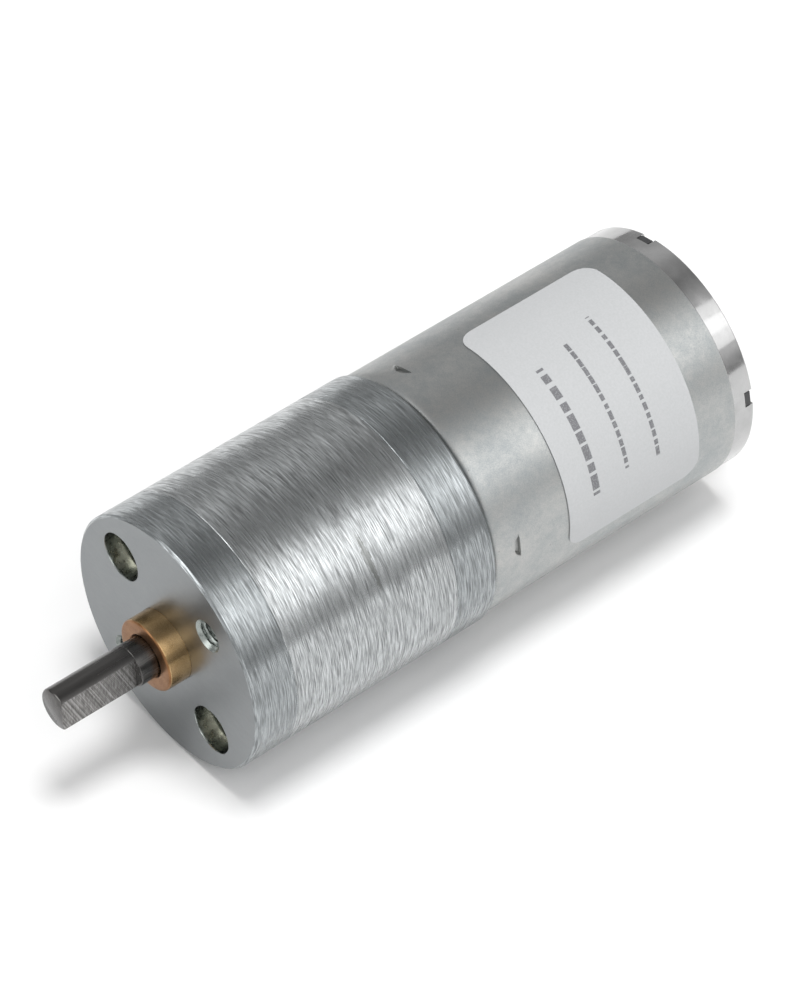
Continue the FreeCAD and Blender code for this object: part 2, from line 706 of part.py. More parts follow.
def make_compound_gear(number, phase):
    """A wheel with a pinion in front of it: gear 1 is driven by the motor pinion."""
    first = number == 1
    wheel_teeth = "first_wheel_teeth" if first else "wheel_teeth"
    driver_teeth = "motor_pinion_teeth" if first else "pinion_teeth"
    letter = "a" if number % 2 else "b"
    x, z = on_circle(PIN_CIRCLE, PIN_ANGLES[letter])
    name = f"Compound{number}"
    pinion = toothed(name + "Pinion", "pinion_teeth", "wheel_teeth", "0", "layer_pitch")
    wheel = toothed(name + "Wheel", wheel_teeth, driver_teeth, "layer_pitch", "gear_face")
    blank = fused(name + "Blank", [pinion, wheel])
    bore = cylinder(name + "Bore", "pin_radius + pin_fit", "-past_edge",
                    "layer_pitch + gear_face + 2 * past_edge")
    gear = cut(name, blank, bore)
    place(gear, x=x, y=f"first_layer_at - layer_pitch * {number}", z=z, turn=math.degrees(phase))
    return keep(gear, f"compound_gear_{number}")


def make_gear_train():
    """Every gear, each turned so that its teeth sit in the gaps of the one before it."""
    axis = {"motor": Vector(), "output": Vector()}
    for letter, angle in PIN_ANGLES.items():
        x, z = on_circle(PIN_CIRCLE, angle)
        axis[letter] = Vector(value(x), 0, value(z))
    train = ["motor"] + ["a" if number % 2 else "b" for number in range(1, GEAR_COUNT + 1)]
    train.append("output")
    phase = 0.0
    make_motor_pinion(phase)
    for number in range(1, GEAR_COUNT + 2):
        first = number == 1
        teeth = value("motor_pinion_teeth" if first else "pinion_teeth")
        mate = value("first_wheel_teeth" if first else "wheel_teeth")
        step = axis[train[number]] - axis[train[number - 1]]
        phase = meshed(phase, teeth, mate, math.atan2(step.z, step.x))
        if number <= GEAR_COUNT:
            make_compound_gear(number, phase)
    make_output_gear(phase)


# ---------------------------------------------------------------- the motor

CAN_FRONT = "gearbox_length"
CAN_REAR = "gearbox_length + can_length"
CAN_BORE = "can_radius - can_wall"
CAP_REAR = "gearbox_length + can_length - cap_recess"
BOSS_FRONT = "gearbox_length - boss_length"
BEARING_FRONT = "gearbox_length - boss_length + boss_lip"
CORE_REAR = "core_front_at + core_length"


def facing_out(thing, angle, reach, at):
    """Turns a thing's own Z outwards at an angle, at a distance from the axis and a place along Y."""
    outwards = Rotation(Vector(0, 0, 1), Vector(1, 0, 0))
    turn = Rotation(AXIS, -value(angle)).multiply(outwards)
    spot = turn.multVec(Vector(0, 0, value(reach))) + Vector(0, value(at), 0)
    thing.Placement = Placement(spot, turn)
    return thing


def lance(number):
    """A shallow D-shaped pocket that is punched into the can, with its straight edge to the rear."""
    notch = doc.addObject("Part::Cylinder", f"Lance{number}")
    bind(notch, Radius="lance_radius", Height="can_wall", Placement__Base__y="lance_radius - lance_height")
    behind = box(f"LanceEdge{number}", ("-lance_radius", "lance_radius"), ("0", "2 * lance_radius"),
                 ("0", "can_wall"))
    pocket = cut(f"LancePocket{number}", notch, behind)
    angle = f"lance_angle - lance_pitch * {number}"
    return facing_out(pocket, angle, "can_radius - lance_depth", "lance_at")


def rim_notches():
    """Blocks across the can's rim, where the end cap's lugs sit."""
    half = "(lug_width / 2 + cap_gap)"
    blocks = []
    for number in range(LUG_COUNT):
        block = box(f"Notch{number}", (f"{CAN_BORE} - past_edge", "band_radius + past_edge"),
                    (f"{CAN_REAR} - lug_length - cap_gap", f"{CAN_REAR} + past_edge"),
                    (f"-{half}", half))
        angle = value("lug_angle") + number * FULL_TURN / LUG_COUNT
        blocks.append(turned_about_shaft(block, f"NotchTurned{number}", angle))
    return blocks


def make_motor_can():
    body = turned("CanShell", (
        ("boss_hole_radius", BOSS_FRONT),
        ("boss_radius", BOSS_FRONT),
        ("boss_radius", CAN_FRONT),
        ("can_radius", CAN_FRONT),
        ("can_radius", f"{CAN_REAR} - band_length"),
        ("band_radius", f"{CAN_REAR} - band_length"),
        ("band_radius", CAN_REAR),
        (CAN_BORE, CAN_REAR),
        (CAN_BORE, f"{CAN_FRONT} + can_wall"),
        ("bearing_radius + press_gap", f"{CAN_FRONT} + can_wall"),
        ("bearing_radius + press_gap", BEARING_FRONT),
        ("boss_hole_radius", BEARING_FRONT),
    ))
    dress(body, "Fillet", "CanShoulder", "can_radius", CAN_FRONT, "can_shoulder")
    drill(body, "CanScrewHoles", CAN_FRONT, "can_wall + past_edge", "screw_thread_radius", TAPPED)
    tools = [lance(0), lance(1)] + rim_notches()
    can = cut("MotorCan", body, fused("CanTools", tools))
    return keep(can, "motor_can")


def make_bearings():
    inner = "rotor_radius + rotor_fit"
    front = tube("FrontBearing", inner, "bearing_radius", BEARING_FRONT,
                 f"{BEARING_FRONT} + bearing_length")
    keep(front, "front_bearing")
    rear = tube("RearBearing", inner, "bearing_radius", "cap_inner_at + card_thickness",
                f"{CAP_REAR} + cap_boss_length - cap_lip")
    keep(rear, "rear_bearing")


def make_magnets():
    for letter, side in zip("ab", OPPOSITE):
        magnet = tube("Magnet" + letter.upper(), "magnet_inner_radius", "magnet_outer_radius",
                      "magnet_front_at", "magnet_front_at + magnet_length", "magnet_sweep")
        place(magnet, turn=value("bolt_angle + magnet_sweep / 2") + side)
        keep(magnet, "magnet_" + letter)


def make_magnet_springs():
    """Sprung clips that spread the magnets apart, each with its two ends bent inwards."""
    start, end = "magnet_front_at + clip_inset", "magnet_front_at + magnet_length - clip_inset"
    inner = "magnet_outer_radius - clip_thickness"
    tip = "magnet_inner_radius + clip_lip_gap"
    springs = []
    for side in OPPOSITE:
        strip = tube(f"Clip{side}", inner, "magnet_outer_radius", start, end, "clip_sweep")
        middle = value("case_angle") + side
        place(strip, turn=middle + value("clip_sweep / 2"))
        ends = []
        for name, turn in (("Near", "clip_lip_sweep - clip_sweep / 2"), ("Far", "clip_sweep / 2")):
            bent = tube(f"Clip{name}{side}", tip, inner, start, end, "clip_lip_sweep")
            place(bent, turn=middle + value(turn))
            ends.append(bent)
        springs.append(fused(f"ClipWhole{side}", [strip] + ends))
    return keep(group("MagnetSprings", springs), "magnet_springs")


def make_motor_shaft():
    edge = "rotor_radius - shaft_break"
    body = turned("MotorShaft", (
        ("0", "first_layer_at"),
        (edge, "first_layer_at"),
        ("rotor_radius", "first_layer_at + shaft_break"),
        ("rotor_radius", "rotor_rear_at - shaft_break"),
        (edge, "rotor_rear_at"),
        ("0", "rotor_rear_at"),
    ))
    return keep(body, "motor_shaft")


def three_arms(name, start, length, reach):
    """Three arms out of a hub, bored for the motor shaft."""
    half = "arm_width / 2"
    arms = [cylinder(name + "Hub", "hub_radius", start, length)]
    for number, angle in enumerate(POLE_ANGLES):
        arm = box(f"{name}Arm{number}", ("0", reach), (start, f"{start} + {length}"), (f"-{half}", half))
        arms.append(turned_about_shaft(arm, f"{name}ArmTurned{number}", angle))
    return arms


def bored(name, pieces, start, length):
    """The pieces fused and bored for the motor shaft."""
    bore = cylinder(name + "Bore", "rotor_radius + press_gap", f"{start} - past_edge",
                    f"{length} + 2 * past_edge")
    return cut(name, fused(name + "Blank", pieces), bore)


def make_armature_core():
    pieces = three_arms("Core", "core_front_at", "core_length", "core_radius - shoe_depth / 2")
    for number, angle in enumerate(POLE_ANGLES):
        shoe = tube(f"Shoe{number}", "core_radius - shoe_depth", "core_radius", "core_front_at",
                    CORE_REAR, "shoe_sweep")
        place(shoe, turn=angle + value("shoe_sweep / 2"))
        pieces.append(shoe)
    return keep(bored("ArmatureCore", pieces, "core_front_at", "core_length"), "armature_core")


def make_core_insulators():
    cards = []
    for side, start in (("Front", "core_front_at - card_thickness"), ("Rear", CORE_REAR)):
        arms = three_arms(f"{side}Card", start, "card_thickness", "coil_outer")
        cards.append(bored(f"{side}CardBored", arms, start, "card_thickness"))
    return keep(group("CoreInsulators", cards), "core_insulators")


def make_armature_coils():
    """Three coils, each wound round the arm of one pole."""
    inner_front = "core_front_at - card_thickness - stack_gap"
    inner_rear = f"{CORE_REAR} + card_thickness + stack_gap"
    inner_half = "arm_width / 2 + stack_gap"
    coils = []
    for number, angle in enumerate(POLE_ANGLES):
        outside = box(f"CoilOutside{number}", ("coil_inner", "coil_outer"),
                      (f"{inner_front} - coil_end", f"{inner_rear} + coil_end"),
                      ("-coil_half_width", "coil_half_width"))
        doc.recompute()
        rounded = doc.addObject("Part::Fillet", f"CoilRounded{number}")
        rounded.Base = outside
        corner = value("coil_corner")
        along_x = [index for index, edge in enumerate(outside.Shape.Edges, start=1)
                   if abs(edge.tangentAt(edge.FirstParameter).x) > NEARLY_ALONG]
        rounded.Edges = [(index, corner, corner) for index in along_x]
        window = box(f"CoilWindow{number}", ("coil_inner - past_edge", "coil_outer + past_edge"),
                     (inner_front, inner_rear), (f"-({inner_half})", inner_half))
        wound = cut(f"CoilWound{number}", rounded, window)
        coils.append(turned_about_shaft(wound, f"Coil{number}", angle))
    return keep(group("ArmatureCoils", coils), "armature_coils")


def make_commutator():
    end = "comm_front_at + comm_length"
    inner = "rotor_radius + press_gap"
    hub = turned("CommutatorHub", (
        (inner, "comm_front_at"),
        ("comm_radius", "comm_front_at"),
        ("comm_radius", "comm_front_at + comm_flange"),
        ("comm_hub_radius", "comm_front_at + comm_flange"),
        ("comm_hub_radius", end),
        (inner, end),
    ))
    keep(hub, "commutator_hub")
    segments = []
    for number, angle in enumerate(POLE_ANGLES):
        segment = tube(f"Segment{number}", "comm_hub_radius + press_gap", "comm_radius",
                       "comm_front_at + comm_flange + press_gap", end, "comm_sweep")
        place(segment, turn=angle + value("comm_turn + comm_sweep / 2"))
        segments.append(segment)
    return keep(group("CommutatorSegments", segments), "commutator_segments")


def make_shaft_spacing():
    """A spacer and two washers between the front bearing and the core."""
    inner = "rotor_radius + press_gap"
    bearing_end = f"{BEARING_FRONT} + bearing_length"
    washers = []
    for number in range(2):
        start = f"{bearing_end} + stack_gap + {number} * (washer_thickness + stack_gap)"
        washer = tube(f"ShaftWasher{number}", inner, "comm_hub_radius", start,
                      f"{start} + washer_thickness")
        washers.append(washer)
    keep(group("ShaftWashers", washers), "shaft_washers")
    start = f"{bearing_end} + 3 * stack_gap + 2 * washer_thickness"
    end = "core_front_at - card_thickness"
    return keep(tube("ShaftSpacer", inner, "rotor_radius + card_thickness", start, end), "shaft_spacer")


def make_end_cap():
    rim = f"{CAN_BORE} - cap_gap"
    boss_end = f"{CAP_REAR} + cap_boss_length"
    bearing_start = "cap_inner_at + card_thickness"
    bearing_end = f"{CAP_REAR} + cap_boss_length - cap_lip"
    hole = "rotor_radius + cap_lip"
    body = turned("CapBody", (
        (hole, "cap_inner_at"),
        (rim, "cap_inner_at"),
        (rim, CAP_REAR),
        ("cap_boss_radius", CAP_REAR),
        ("cap_boss_radius", boss_end),
        (hole, boss_end),
        (hole, bearing_end),
        ("bearing_radius + press_gap", bearing_end),
        ("bearing_radius + press_gap", bearing_start),
        (hole, bearing_start),
    ))
    vents = both_sides("vent_circle", "bolt_angle")
    drill(body, "Vents", "cap_inner_at", "can_length", "vent_radius", vents)
    half = "(lug_width / 2 - cap_gap)"
    lugs = []
    for number in range(LUG_COUNT):
        lug = box(f"Lug{number}", (f"{CAN_BORE} - past_edge", "band_radius"),
                  (f"{CAN_REAR} - lug_length", CAP_REAR), (f"-{half}", half))
        angle = value("lug_angle") + number * FULL_TURN / LUG_COUNT
        lugs.append(turned_about_shaft(lug, f"LugTurned{number}", angle))
    slots = []
    for number, side in enumerate(OPPOSITE):
        slot = terminal_block(f"TerminalSlot{number}", "press_gap")
        slots.append(turned_about_shaft(slot, f"SlotTurned{number}", value("brush_angle") + side))
    cap = cut("EndCap", fused("CapWithLugs", [body] + lugs), fused("CapSlots", slots))
    return keep(cap, "end_cap")


def terminal_block(name, extra):
    """A terminal's tab, or the slot for it when extra is more than nothing."""
    half = f"(terminal_width / 2 + {extra})"
    inner = f"terminal_circle - terminal_thickness / 2 - {extra}"
    outer = f"terminal_circle + terminal_thickness / 2 + {extra}"
    return box(name, (inner, outer), ("terminal_front_at", f"{CAP_REAR} + terminal_reach"),
               (f"-{half}", half))


def make_terminals():
    tabs = []
    for number, side in enumerate(OPPOSITE):
        tab = terminal_block(f"Tab{number}", "0")
        eye = doc.addObject("Part::Cylinder", f"Eye{number}")
        eye.Placement = Placement(Vector(), Rotation(Vector(0, 0, 1), Vector(1, 0, 0)))
        bind(eye, Radius="terminal_eye_radius", Height="terminal_circle * 2",
             Placement__Base__y=f"{CAP_REAR} + terminal_reach / 2")
        drilled = cut(f"TabDrilled{number}", tab, eye)
        tabs.append(turned_about_shaft(drilled, f"Terminal{number}", value("brush_angle") + side))
    return keep(group("Terminals", tabs), "terminals")


def make_brushes():
    """Carbon blocks on the commutator, and the sprung arms that carry them."""
    near = "comm_radius + brush_gap"
    back = f"{near} + brush_length"
    top = "brush_front_at + brush_height"
    half = "brush_half_width"
    tab = "terminal_circle - terminal_thickness / 2"
    blocks = []
    arms = []
    for number, side in enumerate(OPPOSITE):
        turn = value("brush_angle") + side
        block = box(f"Carbon{number}", (near, back), ("brush_front_at", top), (f"-{half}", half))
        blocks.append(turned_about_shaft(block, f"CarbonTurned{number}", turn))
        leaf = box(f"Leaf{number}", (back, f"{back} + leaf_thickness"), ("brush_front_at", "cap_inner_at"),
                   (f"-{half}", "leaf_reach"))
        relief = box(f"LeafRelief{number}", (f"{back} - past_edge", f"{back} + past_edge"),
                     (top, "cap_inner_at + past_edge"), (f"-{half} - past_edge", "leaf_reach - foot_width"))
        foot = box(f"Foot{number}", (back, tab), ("cap_inner_at - leaf_thickness", "cap_inner_at"),
                   ("leaf_reach - foot_width", "leaf_reach"))
        link = box(f"FootLink{number}", (f"{tab} - foot_width", tab),
                   ("cap_inner_at - leaf_thickness", "cap_inner_at"), ("0", "leaf_reach"))
        bent = fused(f"ArmBent{number}", [cut(f"LeafShaped{number}", leaf, relief), foot, link])
        arms.append(turned_about_shaft(bent, f"ArmTurned{number}", turn))
    keep(group("CarbonBrushes", blocks), "carbon_brushes")
    return keep(group("BrushArms", arms), "brush_arms")


def label_corner_tool(name, angle_side, along_side):
    """What a rounded corner takes off the label, at one end of it and one side along Y."""
    block = doc.addObject("Part::Box", name + "Block")
    size = "label_corner + label_thickness"
    bind(block, Length=size, Width=size, Height="label_corner")
    if angle_side > 0:
        bind(block, Placement__Base__x=f"-({size})")
    if along_side < 0:
        bind(block, Placement__Base__y=f"-({size})")
    rod = doc.addObject("Part::Cylinder", name + "Round")
    bind(rod, Radius="label_corner", Height="label_corner")
    inset = "label_corner / can_radius * 180 / pi"
    end = "label_angle" if angle_side > 0 else "label_angle - label_sweep"
    middle = "label_front_at + label_length / 2"
    return facing_out(cut(name, block, rod), f"{end} - ({angle_side}) * {inset}",
                      "can_radius - label_corner / 2",
                      f"{middle} + ({along_side}) * (label_length / 2 - label_corner)")


def make_label():
    """A paper label round the can, with rounded corners."""
    start = "label_front_at"
    inner = "can_radius + label_gap"
    sheet_body = tube("Paper", inner, f"{inner} + label_thickness", start, f"{start} + label_length",
                      "label_sweep")
    place(sheet_body, turn=value("label_angle"))
    corners = [label_corner_tool(f"Corner{number}", *sides)
               for number, sides in enumerate(((1, 1), (1, -1), (-1, 1), (-1, -1)))]
    return keep(cut("Label", sheet_body, fused("LabelCorners", corners)), "label")


# ---------------------------------------------------------------- build, check and write

make_front_plate()
make_output_bush()
make_gearbox_ring()
make_rear_plate()
make_case_screws()
make_motor_screws()
for pin in PIN_ANGLES:
    make_gear_pin(pin)
make_pin_spacers()
make_output_shaft()
make_thrust_washer()
make_gear_train()
make_motor_can()
make_bearings()
make_magnets()
make_magnet_springs()
make_motor_shaft()
make_armature_core()
make_core_insulators()
make_armature_coils()
make_commutator()
make_shaft_spacing()
make_end_cap()
make_terminals()
make_brushes()
make_label()
doc.recompute()

for item in doc.Objects:
    if "Invalid" in item.State or "Error" in item.State:
        raise RuntimeError(f"{item.Name} failed: {item.State}")
for node in nodes:
    if node.Shape.isNull() or not node.Shape.isValid():
        raise RuntimeError(f"{node.Label} has no valid shape")

os.makedirs("parts", exist_ok=True)
for node in nodes:
    node.Shape.exportStep(os.path.join("parts", node.Label + ".step"))
    print(f"{node.Label}: {len(node.Shape.Solids)} solids, {node.Shape.Volume:.2f} mm3")
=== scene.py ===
"""Looks of the 25 mm spur gearmotor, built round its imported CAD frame.

Meshes are made in millimetres in the frame's own axes: the output shaft points along -Y, the motor
lies along +Y and +Z is up. A piece is scaled to metres when it is put in place.
"""
import math

import bmesh
import bpy
from mathutils import Matrix, Vector, noise


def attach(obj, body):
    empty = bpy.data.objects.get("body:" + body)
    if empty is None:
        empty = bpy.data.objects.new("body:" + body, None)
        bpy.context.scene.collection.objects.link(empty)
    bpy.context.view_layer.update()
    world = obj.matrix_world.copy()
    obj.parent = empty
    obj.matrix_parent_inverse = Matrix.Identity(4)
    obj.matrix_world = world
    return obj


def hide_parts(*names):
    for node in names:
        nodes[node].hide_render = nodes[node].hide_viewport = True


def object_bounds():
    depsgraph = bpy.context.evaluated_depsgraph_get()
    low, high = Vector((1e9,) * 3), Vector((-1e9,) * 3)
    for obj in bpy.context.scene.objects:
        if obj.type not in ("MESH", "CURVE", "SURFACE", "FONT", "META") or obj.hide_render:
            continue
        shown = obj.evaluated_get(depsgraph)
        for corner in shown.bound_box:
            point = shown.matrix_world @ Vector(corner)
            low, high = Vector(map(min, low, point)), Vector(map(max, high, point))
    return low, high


MM = 0.001
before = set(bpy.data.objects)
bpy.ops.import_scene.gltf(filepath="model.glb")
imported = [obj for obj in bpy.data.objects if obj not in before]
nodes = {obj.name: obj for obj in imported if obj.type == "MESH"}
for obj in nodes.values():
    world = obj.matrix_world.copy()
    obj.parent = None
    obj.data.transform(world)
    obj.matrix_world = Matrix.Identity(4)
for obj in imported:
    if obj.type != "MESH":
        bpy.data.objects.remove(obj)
cad_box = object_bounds()


# ---------------------------------------------------------------- meshes

SHARP = math.radians(32)
FACED = 0.99
TINY = 0.0002
LEVEL = math.radians(2)
ROUND = 240


def corner_arc(before, corner, after, radius, steps=4):
    """Points that round a profile's corner off with an arc."""
    corner = Vector(corner)
    inwards = (Vector(before) - corner).normalized()
    outwards = (Vector(after) - corner).normalized()
    half = inwards.angle(outwards) / 2
    reach = radius / math.tan(half)
    centre = corner + (inwards + outwards).normalized() * (radius / math.sin(half))
    start = (corner + inwards * reach - centre).normalized()
    end = (corner + outwards * reach - centre).normalized()
    return [tuple(centre + start.slerp(end, step / steps) * radius) for step in range(steps + 1)]


def rounded(profile):
    """A closed profile of (radius, y) or (radius, y, rounding) corners, with its corners rounded."""
    points = []
    count = len(profile)
    for index, corner in enumerate(profile):
        if len(corner) == 2:
            points.append(corner)
            continue
        before, after = profile[index - 1][:2], profile[(index + 1) % count][:2]
        points += corner_arc(before, corner[:2], after, corner[2])
    return points


def add_rings(bm, rings, closed=True):
    """Quads between successive rings of vertices, and from the last ring to the first if closed."""
    pairs = list(zip(rings, rings[1:]))
    if closed:
        pairs.append((rings[-1], rings[0]))
    for one, other in pairs:
        count = len(one)
        for index in range(count):
            following = (index + 1) % count
            bm.faces.new((one[index], one[following], other[following], other[index]))


def turned(profile, angles=None, shape=None):
    """A bmesh turned about the Y axis from a closed profile.

    shape(radius, y, angle) may give a point its own radius.
    """
    bm = bmesh.new()
    angles = angles or [2 * math.pi * step / ROUND for step in range(ROUND)]
    rings = []
    for radius, y in rounded(profile):
        ring = []
        for angle in angles:
            here = shape(radius, y, angle) if shape else radius
            ring.append(bm.verts.new((here * math.cos(angle), y, here * math.sin(angle))))
        rings.append(ring)
    add_rings(bm, rings)
    return bm


def rod(rows, columns, shape, at=(0, 0)):
    """A closed rod along Y: rows are its y values, and shape(angle, y) is its radius."""
    bm = bmesh.new()
    rings = []
    for y in rows:
        ring = []
        for column in range(columns):
            angle = 2 * math.pi * column / columns
            radius = shape(angle, y)
            ring.append(bm.verts.new((at[0] + radius * math.cos(angle), y,
                                      at[1] + radius * math.sin(angle))))
        rings.append(ring)
    add_rings(bm, rings, closed=False)
    bm.faces.new(rings[0])
    bm.faces.new(rings[-1])
    return bm


def block(low, high, angle=0.0):
    """A box between two corners, turned about the Y axis from +X towards +Z."""
    bm = bmesh.new()
    bmesh.ops.create_cube(bm, size=1.0)
    low, high = Vector(low), Vector(high)
    size = high - low
    matrix = Matrix.Rotation(-angle, 4, "Y") @ Matrix.Translation((low + high) / 2)
    bm.transform(matrix @ Matrix.Diagonal((size.x, size.y, size.z, 1)))
    return bm


def as_object(bm, name):
    """The bmesh as an object, still in millimetres, with its faces pointing out."""
    bmesh.ops.recalc_face_normals(bm, faces=bm.faces)
    mesh = bpy.data.meshes.new(name)
    bm.to_mesh(mesh)
    bm.free()
    thing = bpy.data.objects.new(name, mesh)
    bpy.context.scene.collection.objects.link(thing)
    return thing


def joined(bms, name):
    """Several separate closed shapes as one object."""
    whole = bmesh.new()
    for bm in bms:
        bmesh.ops.recalc_face_normals(bm, faces=bm.faces)
        mesh = bpy.data.meshes.new(name)
        bm.to_mesh(mesh)
        bm.free()
        whole.from_mesh(mesh)
        bpy.data.meshes.remove(mesh)
    return as_object(whole, name)


def carved(thing, tools):
    """The thing's mesh less the tools' shapes."""
    cutter = joined(tools, "cutter")
    modifier = thing.modifiers.new("Carve", "BOOLEAN")
    modifier.operation = "DIFFERENCE"
    modifier.solver = "EXACT"
    modifier.object = cutter
    bpy.context.view_layer.update()
    evaluated = thing.evaluated_get(bpy.context.evaluated_depsgraph_get())
    mesh = bpy.data.meshes.new_from_object(evaluated)
    thing.modifiers.clear()
    bm = bmesh.new()
    bm.from_mesh(mesh)
    bmesh.ops.remove_doubles(bm, verts=bm.verts, dist=TINY)
    bmesh.ops.dissolve_degenerate(bm, edges=bm.edges, dist=TINY)
    faced = [edge for edge in bm.edges if all(abs(face.normal.y) > FACED for face in edge.link_faces)]
    bmesh.ops.dissolve_limit(bm, verts=[], edges=faced, angle_limit=LEVEL)
    bm.to_mesh(mesh)
    bm.free()
    thing.data = mesh
    bpy.data.objects.remove(cutter)
    return thing


def put(thing, body, materials, replaced=(), pick=None):
    """Finishes a piece: metres, shading, materials, body and the CAD nodes it stands for.

    pick(centre, normal) gives the number of a face's material, from its place in millimetres.
    """
    mesh = thing.data
    mesh.materials.clear()
    for material in materials:
        mesh.materials.append(material)
    for face in mesh.polygons:
        face.material_index = pick(face.center, face.normal) if pick else 0
        face.use_smooth = abs(face.normal.y) < FACED
    mesh.set_sharp_from_angle(angle=SHARP)
    mesh.transform(Matrix.Scale(MM, 4))
    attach(thing, body)
    if replaced:
        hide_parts(*replaced)
    return thing


# ---------------------------------------------------------------- materials

class Recipe:
    """A Principled material that is put together node by node, with places in millimetres."""

    def __init__(self, name, **settings):
        self.material = bpy.data.materials.new(name)
        self.material.use_nodes = True
        self.tree = self.material.node_tree
        self.shader = self.tree.nodes["Principled BSDF"]
        for socket, number in settings.items():
            self.shader.inputs[socket.replace("_", " ")].default_value = number
        where = self.add("ShaderNodeTexCoord").outputs["Object"]
        self.point = self.scaled(where, (1 / MM, 1 / MM, 1 / MM))
        axes = self.add("ShaderNodeSeparateXYZ", {0: self.point}).outputs
        self.x, self.y, self.z = axes[0], axes[1], axes[2]

    def add(self, kind, inputs=None, **options):
        node = self.tree.nodes.new(kind)
        for key, option in options.items():
            setattr(node, key, option)
        for key, given in (inputs or {}).items():
            if isinstance(given, bpy.types.NodeSocket):
                self.tree.links.new(given, node.inputs[key])
            else:
                node.inputs[key].default_value = given
        return node

    def scaled(self, vector, factors):
        return self.add("ShaderNodeVectorMath", {0: vector, 1: factors}, operation="MULTIPLY").outputs[0]

    def math(self, operation, *values):
        return self.add("ShaderNodeMath", dict(enumerate(values)), operation=operation).outputs[0]

    def noise(self, scale, detail=3.0, rough=0.55):
        """Noise whose grain is given per millimetre, as one number or as one for each axis."""
        factors = scale if isinstance(scale, tuple) else (scale, scale, scale)
        inputs = {"Vector": self.scaled(self.point, factors), "Scale": 1.0, "Detail": detail,
                  "Roughness": rough}
        return self.add("ShaderNodeTexNoise", inputs).outputs[0]

    def spots(self, scale, size):
        """Scattered round spots: 1 in their middle and 0 outside."""
        cells = self.add("ShaderNodeTexVoronoi", {"Vector": self.scaled(self.point, (scale,) * 3),
                                                  "Scale": 1.0})
        return self.band(cells.outputs["Distance"], size, 0.0)

    def band(self, value, start, end, low=0.0, high=1.0):
        """Goes smoothly from low to high as value goes from start to end."""
        inputs = {0: value, 1: start, 2: end, 3: low, 4: high}
        return self.add("ShaderNodeMapRange", inputs, interpolation_type="SMOOTHSTEP").outputs[0]

    def radius(self):
        flat = self.scaled(self.point, (1, 0, 1))
        return self.add("ShaderNodeVectorMath", {0: flat}, operation="LENGTH").outputs["Value"]

    def angle(self):
        return self.math("ARCTAN2", self.z, self.x)

    def ramp(self, factor, *stops):
        node = self.add("ShaderNodeValToRGB", {0: factor})
        elements = node.color_ramp.elements
        while len(elements) < len(stops):
            elements.new(0.5)
        for element, (place, colour) in zip(elements, stops):
            element.position = place
            element.color = (*colour, 1)
        return node.outputs[0]

    def mix(self, factor, one, other):
        node = self.add("ShaderNodeMix", {0: factor}, data_type="RGBA")
        for socket, given in ((node.inputs[6], one), (node.inputs[7], other)):
            if isinstance(given, bpy.types.NodeSocket):
                self.tree.links.new(given, socket)
            else:
                socket.default_value = (*given, 1)
        return node.outputs[2]

    def bump(self, height, depth, under=None):
        """A bump whose height goes from 0 to depth millimetres."""
        inputs = {"Height": height, "Distance": depth * MM, "Strength": 1.0}
        if under:
            inputs["Normal"] = under
        return self.add("ShaderNodeBump", inputs).outputs[0]

    def finish(self, colour, roughness, normal=None):
        self.tree.links.new(colour, self.shader.inputs["Base Color"])
        self.tree.links.new(roughness, self.shader.inputs["Roughness"])
        if normal:
            self.tree.links.new(normal, self.shader.inputs["Normal"])
        return self.material


def grey(level, warmth=0.0):
    return (level * (1 + warmth), level, level * (1 - warmth))


def tinted(colour, factor):
    return tuple(channel * factor for channel in colour)


def round_y(made):
    """Turning marks run round the Y axis, so that highlights spread along it."""
    tangent = made.add("ShaderNodeTangent", direction_type="RADIAL", axis="Y").outputs[0]
    made.tree.links.new(tangent, made.shader.inputs["Tangent"])


def brushed(name, colour, contrast, roughness, depth):
    """Metal brushed round the Y axis in short strokes."""
    made = Recipe(name, Metallic=1.0, Anisotropic=0.6, Anisotropic_Rotation=0.25)
    round_y(made)
    strokes = made.noise((0.5, 9.0, 0.5), 2.0, 0.7)
    fine = made.noise((0.25, 3.5, 0.25), 3.0, 0.7)
    cloud = made.noise(0.22, 3.0)
    both = made.math("ADD", made.math("MULTIPLY", strokes, 0.72), made.math("MULTIPLY", fine, 0.28))
    base = made.ramp(both, (0.38, tinted(colour, 1 - contrast)), (0.5, colour),
                     (0.62, tinted(colour, 1 + contrast * 1.2)))
    base = made.mix(made.band(cloud, 0.35, 0.7, 0.0, 0.35), base, tinted(colour, 0.8))
    shine = made.band(both, 0.38, 0.62, roughness + 0.1, roughness - 0.06)
    return made, base, shine, made.bump(both, depth)


def plain(name, light, dark, roughness, grain=6.0, depth=0.004, metallic=0.0):
    """A material with an even grain, cloudy in colour and finish."""
    made = Recipe(name, Metallic=metallic)
    cloud = made.noise(0.35, 4.0)
    speck = made.noise(grain, 3.0)
    blend = made.math("ADD", made.math("MULTIPLY", cloud, 0.6), made.math("MULTIPLY", speck, 0.4))
    base = made.ramp(blend, (0.36, dark), (0.62, light))
    shine = made.band(speck, 0.3, 0.7, roughness - 0.06, roughness + 0.08)
    return made.finish(base, shine, made.bump(speck, depth))


def along_y(name, light, dark, roughness, lines=12.0, depth=0.003):
    """A turned or drawn metal, with fine rings round the Y axis."""
    made = Recipe(name, Metallic=1.0)
    rings = made.noise((0.25, lines, 0.25), 3.0, 0.6)
    cloud = made.noise(0.5, 3.0)
    blend = made.math("ADD", made.math("MULTIPLY", rings, 0.6), made.math("MULTIPLY", cloud, 0.4))
    base = made.ramp(blend, (0.36, dark), (0.62, light))
    shine = made.band(rings, 0.3, 0.7, roughness - 0.05, roughness + 0.07)
    return made.finish(base, shine, made.bump(rings, depth))


RING_GREY = (0.395, 0.41, 0.415)
PLATE_GREY = (0.30, 0.318, 0.325)
FACE_GREYS = (0.228, 0.24, 0.246), (0.268, 0.28, 0.286)


